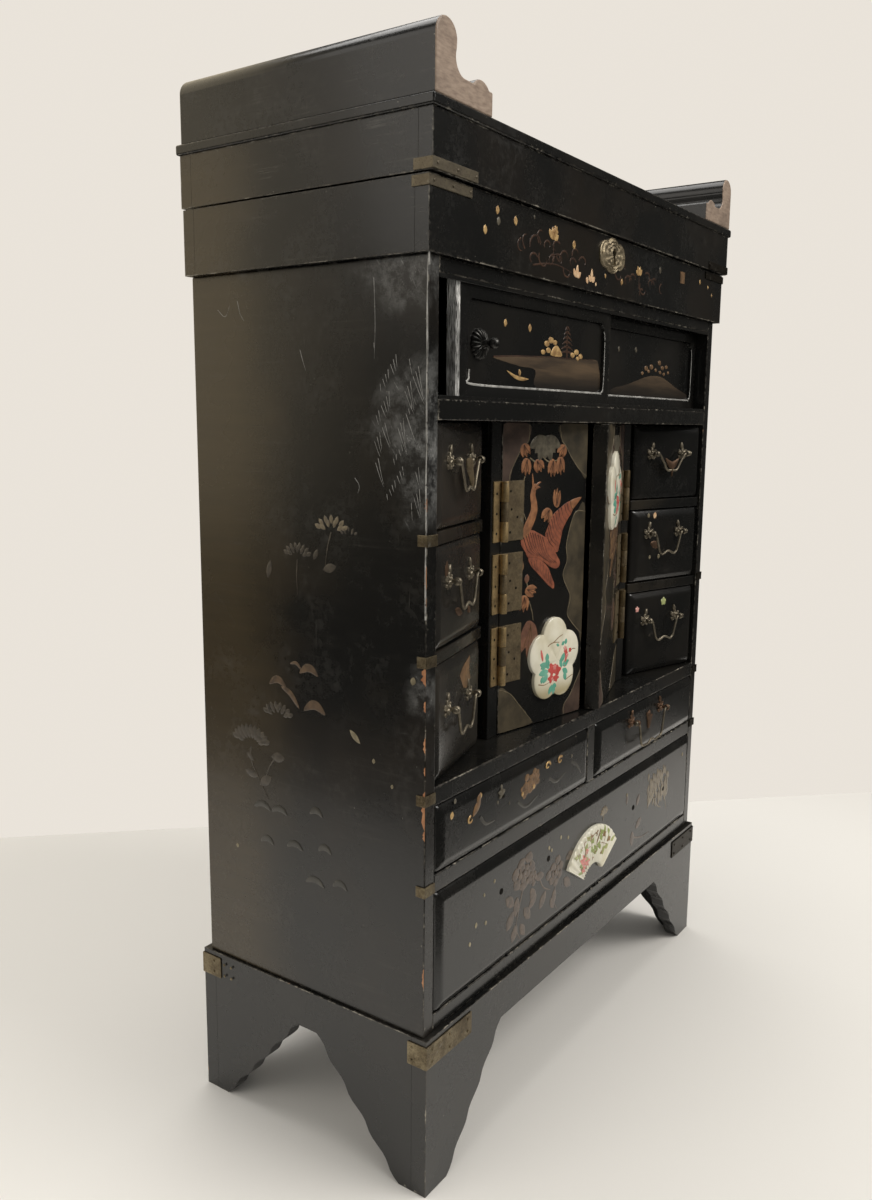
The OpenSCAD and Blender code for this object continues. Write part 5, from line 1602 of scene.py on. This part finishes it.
@dataclass(frozen=True)
class LeftSide:
    """Flower heads, hills and pebbles painted on the left side, and the wear of its front arris."""

    face: Face = LEFT_SIDE
    body: str = "cabinet"
    arris: float = 82.2
    scratches: int = 54

    def flowers(self) -> None:
        """Flower heads on their stems, with leaves."""
        paint("left_side_upper_flower", umbel(self.face, 18.2, 370.5, 17, 7), Gloss.FAINT_GOLD, self.body)
        heads = umbel(self.face, -6.9, 355, 15, 8).add(umbel(self.face, 30.5, 369.5, 9,
            5)).add(umbel(self.face, -24, 259.5, 17, 8))
        heads.add(umbel(self.face, -46.6, 239, 22, 11))
        heads.add(strokes(self.face, [[(18.2, 371), (15.4, 362), (13, 348)],
            [(-6.9, 354), (-7.6, 345), (-7.1, 334)], [(-46.6, 238), (-47, 230), (-40.9, 219.7), (-33, 208)],
            [(-26, 236), (-33, 226), (-36, 215)]], 0.9))
        foliage = ((-30.4, 341.5, 11, 4, 75), (12, 350, 10, 5, 15), (-30, 235, 11, 6, 5),
                   (-38, 240, 7, 4, 100), (-52, 222.5, 11, 5, -12), (-40, 215.5, 12, 6, 35),
                   (-50, 234, 7, 3, -40), (5, 355, 7, 3, 60))
        paint("left_side_flowers", heads.add(leaves(self.face, foliage)), Gloss.WAN, self.body)

    def hills(self) -> None:
        """Low hills, each a humped outline with a hollow foot."""
        hills = Shell()
        for u, z, w in ((0.5, 289, 14), (4.5, 267.5, 16), (-24, 279, 13)):
            hills.add(plate(self.face, smooth_outline([(u - 0.5 * w, z), (u - 0.3 * w, z + 0.34 * w),
                (u, z + 0.46 * w), (u + 0.3 * w, z + 0.34 * w), (u + 0.5 * w, z), (u, z + 0.12 * w)]), 0.06,
                0.2))
        hills.add(line_on(self.face, [(-21, 279), (-14, 276), (-7, 268)], 3.5, 0.2, belly=True))
        hills.add(line_on(self.face, [(-14, 293.5), (-9, 294.5), (-5, 291)], 2.0, 0.2, belly=True))
        paint("left_side_hills", hills, Gloss.HILL, self.body)

    def rocks(self) -> None:
        """Pebbles near the foot, as short fat lines."""
        rocks = Shell()
        for u, z, w in ((-38, 203, 14), (-24, 203, 13), (5, 208.5, 10), (-34.6, 181.8, 11),
                (-12.1, 184.1, 13), (11.4, 187.6, 10), (3.4, 165.8, 15), (22.6, 168.8, 11)):
            rocks.add(line_on(self.face, [(u - w / 2, z - 2), (u - w / 6, z + 0.8), (u + w / 6, z + 0.8),
                (u + w / 2, z - 2)], 4.2, 0.2, belly=True))
        paint("left_side_rocks", rocks, Gloss.SHADE, self.body)

    def chips(self) -> None:
        """Pale chips."""
        marks = leaves(self.face, [(30.5, 262.5, 10, 3.4, -42)], 18)
        marks.add(blossoms(self.face, [(73.6, 296.7, 2.6), (47.5, 247.8, 1.6), (-60, 172, 1.6),
            (60, 236, 1.4)], 2, 0.15))
        paint("left_side_chips", marks, Gloss.PALE, self.body)

    def bare_wood(self) -> None:
        """Ragged bare wood along the front arris: (z, wide, tall)."""
        bare = Shell()
        for z, wide, tall in ((389, 1.6, 7), (352, 1.4, 12), (339, 1.0, 5), (300.5, 3.4, 11), (284, 1.6, 6),
                (263, 1.5, 9), (249, 1.1, 5), (227, 2.6, 22), (213, 1.6, 6), (131, 1.3, 12)):
            t = np.linspace(-0.5, 0.5, 15)
            edge = 1 - np.abs(2 * t) ** 5
            u = self.arris - wide * edge * (0.62 + 0.22 * np.sin(17 * t + z) + 0.16 * np.sin(41 * t + 2 * z))
            ends = [(self.arris, z + tall / 2), (self.arris, z - tall / 2)]
            outline = np.vstack([np.stack([u, z + tall * t], axis=1), ends])
            bare.add(plate(self.face, outline, 0.05, 0.12))
        paint("left_arris_bare_wood", bare, Gloss.RAW, self.body)

    def rubbed(self) -> None:
        """Rubbed arrises and fine scratches near the front."""
        rub = strokes(self.face, [[(81.8, z), (81.5, z + 25), (81.8, z + 50)] for z in (330, 375, 420, 462)],
            1.1, 0.12)
        rub.add(strokes(Face((-194.5, 0, 0), self.face.across), [[(85.2, 505), (85.0, 511), (85.2, 517)],
            [(85.2, 522), (85.2, 532), (85.2, 543)]], 1.1, 0.12))
        fine = [[(48, 502), (48.8, 480), (48.2, 462)], [(-66, 492), (-60, 488), (-56, 494)],
                [(-50, 496), (-48, 489), (-45, 485)], [(-3, 468), (-1, 462), (1, 457)],
                [(35, 401), (38, 397), (37, 393)]]
        for k in range(self.scratches):
            fan = (k * 0.618) % 1
            u, z, n = 48 + 30 * fan, 470 - 74 * ((k * 0.755) % 1) - 10 * fan, 3 + 14 * ((k * 0.37) % 1) ** 2
            lean = 0.05 + 0.5 * ((k * 0.29) % 1)
            fine.append([(u, z), (min(u + lean * 0.55 * n, 81.6), z - 0.6 * n),
                (min(u + lean * n, 81.8), z - n)])
        rub.add(strokes(self.face, fine, 0.26, 0.05))
        paint("left_arris_rubbed", rub, Gloss.RUBBED, self.body)

    def build(self) -> None:
        """Makes all that shows on the side."""
        self.flowers()
        self.hills()
        self.rocks()
        self.chips()
        self.bare_wood()
        self.rubbed()


# ---- boards


@dataclass(frozen=True)
class SlidingFrame:
    """The frame of one sliding door, whose opening has rounded corners."""

    node: str
    body: str
    opening: tuple[float, float, float, float]
    corner: float = 5.0
    raw_end: bool = False

    def ring(self, low: Pair, high: Pair, r: float) -> Array:
        """A rectangle's outline with corners of radius r, eight points to a corner."""
        t = np.linspace(0, 0.5 * math.pi, 8)
        arcs = []
        for k, (x, z) in enumerate(((high[0] - r, high[1] - r), (low[0] + r, high[1] - r),
                (low[0] + r, low[1] + r), (high[0] - r, low[1] + r))):
            a = t + 0.5 * math.pi * k
            arcs.append(np.stack([x + r * np.cos(a), z + r * np.sin(a)], axis=1))
        return np.vstack(arcs)

    def build(self) -> None:
        """Makes the frame as rings from the back edge round the front to the opening and back, with a painted
        highlight along the opening's lower and right edges.
        """
        low, high = node_box(self.node)
        x0, z0, x1, z1 = self.opening
        outer = ((low[0], low[2]), (high[0], high[2]))
        rows = []
        for inset, depth in ((0, high[1]), (0, low[1] + 0.5), (0.5, low[1])):
            rows.append((self.ring((outer[0][0] + inset, outer[0][1] + inset),
                (outer[1][0] - inset, outer[1][1] - inset), 0.02), depth))
        for inset, depth in ((-0.7, low[1]), (-0.15, low[1] + 0.35), (0, low[1] + 1.0), (0, high[1])):
            rows.append((self.ring((x0 + inset, z0 + inset), (x1 - inset, z1 - inset), self.corner), depth))
        rows.append(rows[0])
        points = np.stack([np.stack([o[:, 0], np.full(len(o), d), o[:, 1]], axis=1) for o, d in rows])
        finish = Lacquer(wear=1.5, seed=34.0)
        if self.raw_end:
            finish = PartLacquer(wear=1.5, seed=30.0, axis=0, line=float(low[0]) + 3.0, sign=-1, ragged=2.5,
                light=(0.85, 0.84, 0.8), dark=(0.035, 0.033, 0.03), grain=(7.0, 7.0, 0.3), soft=0.05)
        material = finish.make(self.node + "_lacquer", Board.of(self.node))
        piece = make_piece(self.node + "_rounded", grid_shell(points), material, self.body)
        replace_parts(piece, self.node)
        face = Face((0.0, float(low[1]), 0.0), turned(0))
        r = self.corner
        # Painted highlight: a pale line along the bottom and right edges of the opening, where its rounded
        # edge catches the light.
        highlight_line = [(x0 + 0.5, z0 + 1.5 * r), (x0 + 0.3, z0 + 0.6 * r), (x0 + r, z0 - 0.2),
                (0.5 * (x0 + x1), z0 - 0.3), (x1 - 2 * r, z0 - 0.2), (x1 - 0.6 * r, z0 + 0.2),
                (x1, z0 + 1.2 * r), (x1 + 0.2, z1 - 2 * r), (x1 - 0.3 * r, z1 - r)]
        paint(self.node + "_worn_edge", strokes(face, [highlight_line], 1.3, 0.3), Gloss.RUBBED, self.body)


@dataclass(frozen=True)
class Boards:
    """Finishes of the boards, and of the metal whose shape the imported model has.

    front is the thickness of a drawer front and rounding the bevel of its edges.
    """

    small_floors: Triple = (237.7, 310.5, 374.4)
    small_heights: Triple = (65.6, 56.7, 57.1)
    small_width: float = 78.35
    front: float = 9.0
    rounding: float = 2.2
    left_door: tuple[Triple, Triple] = ((0.3, 0.0, 238.2), (83.4, 10.0, 431.0))
    right_door: tuple[Triple, Triple] = ((-83.4, 0.0, 238.2), (-0.3, 10.0, 431.0))

    def small(self, face: Face, i: int, sign: int) -> Board:
        """The front board of small drawer i, counted from the bottom."""
        ends = sorted((0.0, sign * self.small_width))
        floor, gap = self.small_floors[i], 0.5
        return Board(face, (ends[0], 0.0, floor + gap),
            (ends[1], self.front, floor + self.small_heights[i] - gap))

    def case(self) -> None:
        """Lacquer and wood on the fixed boards."""
        # The brown towards the back of the left side is a painted warm reflection.
        left = Lacquer(ground=(0.004, 0.004, 0.0037), thin=(0.011, 0.008, 0.005), dust=0.9, chips=0.9,
            brown=(0.0, 60.0), brushed=0.35, seed=1.0, scuffs=((-191.0, -80.0, 405.0, 36.0),
            (-191.0, -80.0, 440.0, 34.0), (-191.0, -66.0, 505.0, 34.0), (-191.0, -84.0, 290.0, 20.0),
            (-191.0, 40.0, 520.0, 16.0)))
        dress("case_side_left", left.make("left_side_lacquer", Board.of("case_side_left")), 0.8)
        dress("case_side_right", Lacquer(chips=1.2, seed=4.0).make("right_side_lacquer",
            Board.of("case_side_right")), 0.8)
        base = Lacquer(dust=0.5, wear=1.3, chips=0.9, seed=7.0).make("base_lacquer", Board.of("base_frame"))
        dress("base_frame", base, 0.15)
        dress("back_panel", Wood(light=(0.16, 0.1, 0.06), dark=(0.07, 0.045, 0.028),
            along=(1.0, 1.0, 0.06)).make("back_wood"), 0.4)
        for i, node in enumerate(("case_floor", "lower_shelf", "drawer_upright", "middle_shelf",
                "upper_shelf", "case_top")):
            dress(node, Lacquer(wear=1.6, dust=0.5, seed=40.0 + i).make(node + "_lacquer", Board.of(node)),
                  0.7)
        dress("sliding_tracks", Lacquer(wear=0.8, seed=50.0).make("track_lacquer"), 0.3)
        dress("cupboard_walls", Lacquer(dust=0.3, seed=52.0).make("wall_lacquer"), 0.6)
        dress("small_drawer_shelves", Lacquer(thin=(0.03, 0.024, 0.016), dust=0.8,
            seed=54.0).make("shelf_lacquer"), 0.6)
        for node in ("corner_brasses", "lid_brasses"):
            dress(node, Gloss.STRAP.material(), 0.25)
        for node in ("lock_case", "lock_bolt"):
            dress(node, Gloss.LOCK.material(), 0.4)
        for node in ("lid_hinge_barrels", "lid_hinge_leaves", "hinge_leaves_left", "hinge_leaves_right"):
            dress(node, Gloss.HINGE.material(), 0.25)
        dress("door_hinge_barrels", Gloss.KNUCKLE.material(), 0.25)

    def lid(self) -> None:
        """Lacquer on the tray, the lid and its two galleries, which have bare front ends."""
        # The brown towards the back of the tray and the lid is a painted warm reflection.
        tray = Lacquer(thin=(0.012, 0.009, 0.006), dust=0.8, brown=(10.0, 70.0), brushed=0.9, seed=60.0)
        dress("tray_frame", tray.make("tray_lacquer", Board.of("tray_frame")), 0.12)
        lid = Lacquer(thin=(0.013, 0.01, 0.007), dust=0.8, brown=(10.0, 70.0), brushed=1.0, seed=63.0)
        dress("lid_frame", lid.make("lid_lacquer", Board.of("lid_frame")), 0.12)
        dress("lid_board", Lacquer(dust=0.6, wear=1.2, seed=66.0).make("lid_board_lacquer",
            Board.of("lid_board")), 1.2)
        board = Board.of("galleries")
        ends = PartLacquer(dust=0.9, wear=1.0, brushed=0.9, seed=69.0, line=float(board.low[1]) + 0.7,
            sign=-1, light=(0.36, 0.27, 0.2), dark=(0.2, 0.14, 0.1), grain=(0.3, 1.0, 1.0))
        dress("galleries", ends.make("gallery_lacquer", board), 1.0)

    def drawers(self) -> None:
        """Lacquered fronts with plain wood behind them; the left small drawers' lighter lacquer is a painted
        reflection.
        """
        for i, level in enumerate(("low", "mid", "top")):
            for side, face, sign, seed in (("left", LEFT_SMALL, 1, 70.0), ("right", RIGHT_SMALL, -1, 80.0)):
                finish = PartLacquer(dust=0.4, wear=0.9, seed=seed + 3 * i)
                # Painted reflection: the left small drawers get a lighter brown-grey ground and lighter thin
                # patches.
                if side == "left":
                    finish = replace(finish, ground=(0.013, 0.012, 0.0105), thin=(0.032, 0.027, 0.021))
                node = f"drawer_{side}_{level}"
                dress(node, finish.make(node + "_lacquer", self.small(face, i, sign)), self.rounding)
        for node, low, high in (("drawer_pair_left", (-180.6, 188.2), (-4.3, 226.7)),
                ("drawer_pair_right", (8.4, 188.2), (180.6, 226.7)),
                ("drawer_wide", (-180.6, 105.8), (180.6, 176.7))):
            board = Board(FRONT, (low[0], 0.0, low[1]), (high[0], self.front, high[1]))
            finish = PartLacquer(dust=0.45, wear=1.0, chips=0.5, seed=90.0 + len(node))
            dress(node, finish.make(node + "_lacquer", board), self.rounding)

    def doors(self) -> None:
        """Lacquer on the cupboard doors and the panels of the sliding doors."""
        left = Lacquer(dust=0.25, wear=1.2, seed=100.0)
        dress("cupboard_door_left", left.make("left_door_lacquer", Board(LEFT_DOOR, *self.left_door)), 0.6)
        right = Lacquer(ground=(0.011, 0.01, 0.008), thin=(0.03, 0.025, 0.018), dust=0.6, wear=1.6,
            seed=104.0)
        dress("cupboard_door_right", right.make("right_door_lacquer", Board(RIGHT_DOOR, *self.right_door)),
              0.6)
        dress("sliding_panel_left", Lacquer(dust=0.3, seed=108.0).make("left_panel_lacquer"), 0)
        dress("sliding_panel_right", Lacquer(dust=0.3, seed=111.0).make("right_panel_lacquer"), 0)
        SlidingFrame("sliding_frame_left", "sliding_door_left", (-152.0, 450.7, 5.5, 494.6),
            raw_end=True).build()
        SlidingFrame("sliding_frame_right", "sliding_door_right", (-3.5, 450.7, 173.0, 494.6)).build()

    def build(self) -> None:
        """Dresses all of the boards."""
        self.case()
        self.lid()
        self.drawers()
        self.doors()


@dataclass(frozen=True)
class Handles:
    """The seven bails with their posts; those of the small drawers are given from the bottom up."""

    levels: tuple[str, ...] = ("low", "mid", "top")
    left_heights: Triple = (276.3, 347.0, 410.4)
    right_heights: Triple = (280.8, 348.8, 409.5)
    lozenge: tuple[Pair, ...] = ((-6.0, 0.5), (-5.0, -5.0), (-1.0, -9.0), (3.0, -15.5), (6.5, -12.0),
        (4.0, -5.0), (3.0, 0.5), (-1.0, 1.5))
    drop: tuple[Pair, ...] = ((-8.0, -3.5), (-4.6, -9.5), (-1.5, -12.0), (0.0, -17.5), (1.5, -12.0),
        (4.6, -9.5), (8.0, -3.5), (0.0, -6.0))
    leaf: tuple[Pair, ...] = ((1.5, 0.5), (3.2, -6.0), (5.0, -12.5), (8.5, -10.5), (11.5, -3.0), (8.0, -2.5),
        (6.2, 1.5), (3.5, 0.0))

    def build(self) -> None:
        """Makes them all."""
        for level, z in zip(self.levels, self.left_heights):
            made = Handle(f"bail_left_{level}", f"drawer_left_{level}", LEFT_SMALL, 36.0, z,
                tag_gloss=Gloss.HINGE)
            (replace(made, tag=self.lozenge, spread=11.5) if level == "top" else made).build()
        for level, z in zip(self.levels, self.right_heights):
            made = Handle(f"bail_right_{level}", f"drawer_right_{level}", RIGHT_SMALL, -43.3, z)
            (replace(made, tag=self.drop, spread=14.4, drop=14.0) if level == "top" else made).build()
        Handle("bail_pair", "drawer_pair_right", FRONT, 88.2, 216.0, 53.0, 20.0, tag=self.leaf,
               tag_hangs=False, foot=Gloss.COPPER).build()


# ---- stage


@dataclass(frozen=True)
class Studio:
    """A pale table, a pale room and soft lamps, seen from the photo's place.

    eye and rows are the camera's place and its right, down and forward directions; focal is in pixels of a
    picture picture_height tall. beyond is how much larger the table is for the camera than for the gloss, and
    fade the distances from the middle over which it turns into the background. A lamp is its name, place in
    metres, size, power and colour.
    """

    eye: Triple = (-602.54, -382.32, 428.95)
    rows: tuple[Triple, ...] = ((0.566363, -0.824069, 0.011934), (-0.127366, -0.101824, -0.986615),
        (0.814255, 0.557263, -0.162628))
    focal: float = 1011.233
    picture_height: float = 1200.0
    sensor: float = 36.0
    shift: Pair = (-0.0169, -0.0066)
    table_corners: tuple[Triple, Triple, Triple] = ((-620.0, 1159.0, 0.0), (823.0, -329.0, 0.0),
        (-620.0, -329.0, 0.0))
    beyond: float = 4.0
    fade: Pair = (450.0, 950.0)
    lamps: tuple[tuple[str, Triple, float, float, Colour], ...] = (("key", (0.5, -1.7, 1.9), 1.3, 38.0,
        (1.0, 0.97, 0.93)), ("fill", (-2.0, 0.6, 1.5), 1.6, 11.0, (1.0, 0.95, 0.88)),
        ("top", (0.1, 0.4, 2.4), 1.6, 26.0, (1.0, 0.98, 0.95)))

    def camera(self) -> None:
        """The camera, at the photo's place."""
        data = bpy.data.cameras.new("photo_camera")
        data.sensor_width = data.sensor_height = self.sensor
        data.lens = self.focal * self.sensor / self.picture_height
        data.shift_x, data.shift_y = self.shift
        data.clip_start, data.clip_end = 0.01, 50.0
        camera = bpy.data.objects.new("photo_camera", data)
        bpy.context.scene.collection.objects.link(camera)
        right, down, ahead = (Vector(r) for r in self.rows)
        turn = Matrix((right, -down, -ahead)).transposed().to_4x4()
        camera.matrix_world = Matrix.Translation(Vector(self.eye) * MM) @ turn
        bpy.context.scene.camera = camera

    def table(self) -> None:
        """The table, whose far edge lies where the photo's does, and more of it that only the camera sees.

        The gloss shows the near part alone, so that it turns dark above the drawers as in the photo. The
        rest is the same triangle drawn larger about a point on its far edge, and fades into the background.
        """
        near = np.array(self.table_corners)
        middle = 0.5 * (near[0] + near[1])
        corners = np.vstack([near, middle + self.beyond * (near - middle)]) * MM
        g = Graph.material("table_top")
        far = g.vector("LENGTH", g.here, out="Value").step(*self.fade)
        top = g.finish(Base_Color=g.mix(far, (0.765, 0.745, 0.705), (0.0, 0.0, 0.0)), Roughness=0.5,
            Emission_Color=g.mix(far, (0.0, 0.0, 0.0), (0.75, 0.7, 0.63)), Emission_Strength=1.0)
        for name, faces in (("table", [[2, 1, 0]]), ("table_beyond", [[5, 2, 0, 3], [4, 1, 2, 5]])):
            mesh = bpy.data.meshes.new(name)
            mesh.from_pydata(corners.tolist(), [], faces)
            mesh.materials.append(top)
            table = bpy.data.objects.new(name, mesh)
            bpy.context.scene.collection.objects.link(table)
        table.visible_glossy = table.visible_diffuse = False

    def room(self) -> None:
        """A pale background for the camera, a plain glow, and walls and a darker side for the gloss to show.

        The gloss sees walls where the direction leans to the back and is not far below level.
        """
        world = bpy.data.worlds.new("room")
        bpy.context.scene.world = world
        g = Graph(world)
        g.tree.nodes.clear()
        way = g.node("ShaderNodeTexCoord", out="Generated")
        back, rise = (g.vector("DOT_PRODUCT", way, axis, out="Value")
            for axis in ((0.0, 1.0, 0.0), (0.0, 0.0, 1.0)))
        share = back.step(0.63, 0.73) * rise.step(-0.16, -0.03)
        walls = g.mix(share, (0.04, 0.038, 0.034), (1.0, 0.86, 0.62))
        seen = g.node("ShaderNodeBackground", {}, {"Color": (0.82, 0.77, 0.7)})
        glow = g.node("ShaderNodeBackground", {}, {"Color": (0.9, 0.88, 0.84), "Strength": 0.55})
        gloss = g.node("ShaderNodeBackground", {}, {"Color": walls})
        first = g.node("ShaderNodeMixShader", {},
            {0: g.node("ShaderNodeLightPath", out="Is Glossy Ray"), 1: glow, 2: gloss})
        last = g.node("ShaderNodeMixShader", {},
            {0: g.node("ShaderNodeLightPath", out="Is Camera Ray"), 1: first, 2: seen})
        output = g.tree.nodes.new("ShaderNodeOutputWorld")
        g.put(output.inputs[0], last)

    def lamp(self, name: str, at: Triple, size: float, power: float, colour: Colour) -> None:
        """A square soft lamp that points at the middle of the cabinet."""
        data = bpy.data.lights.new(name, "AREA")
        data.shape = "SQUARE"
        data.size = size
        data.energy = power
        data.color = colour
        lamp = bpy.data.objects.new(name, data)
        lamp.location = Vector(at)
        lamp.rotation_euler = (Vector((0, 0, 0.3)) - lamp.location).to_track_quat("-Z", "Y").to_euler()
        bpy.context.scene.collection.objects.link(lamp)

    def build(self) -> None:
        """Sets the whole stage."""
        self.table()
        self.room()
        for row in self.lamps:
            self.lamp(*row)
        self.camera()
        bpy.context.scene.view_settings.view_transform = "Standard"


def main() -> None:
    """Builds the looks of the whole cabinet."""
    logging.basicConfig(level=logging.INFO, format="%(message)s")
    for part in (Boards(), Handles(), Plaque("plaque_left", "door_left", LEFT_DOOR, 52.5, 278.7),
            Plaque("plaque_right", "door_right", RIGHT_DOOR, -52.5, 385.0), FanPlaque(), KeyPlate(),
            Rosette(), Trim(), DoorPicture("door_left", LEFT_DOOR), DoorPicture("door_right", RIGHT_DOOR, -1),
            GiltWork(), LeftSide(), Studio()):
        part.build()


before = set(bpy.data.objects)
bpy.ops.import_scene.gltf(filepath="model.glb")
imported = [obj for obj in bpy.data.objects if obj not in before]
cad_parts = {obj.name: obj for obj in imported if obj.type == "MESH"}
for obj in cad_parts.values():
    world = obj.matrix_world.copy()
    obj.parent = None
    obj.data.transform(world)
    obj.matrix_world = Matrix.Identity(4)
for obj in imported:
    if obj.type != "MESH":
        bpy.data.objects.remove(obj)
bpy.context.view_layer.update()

if __name__ == "__main__":
    main()
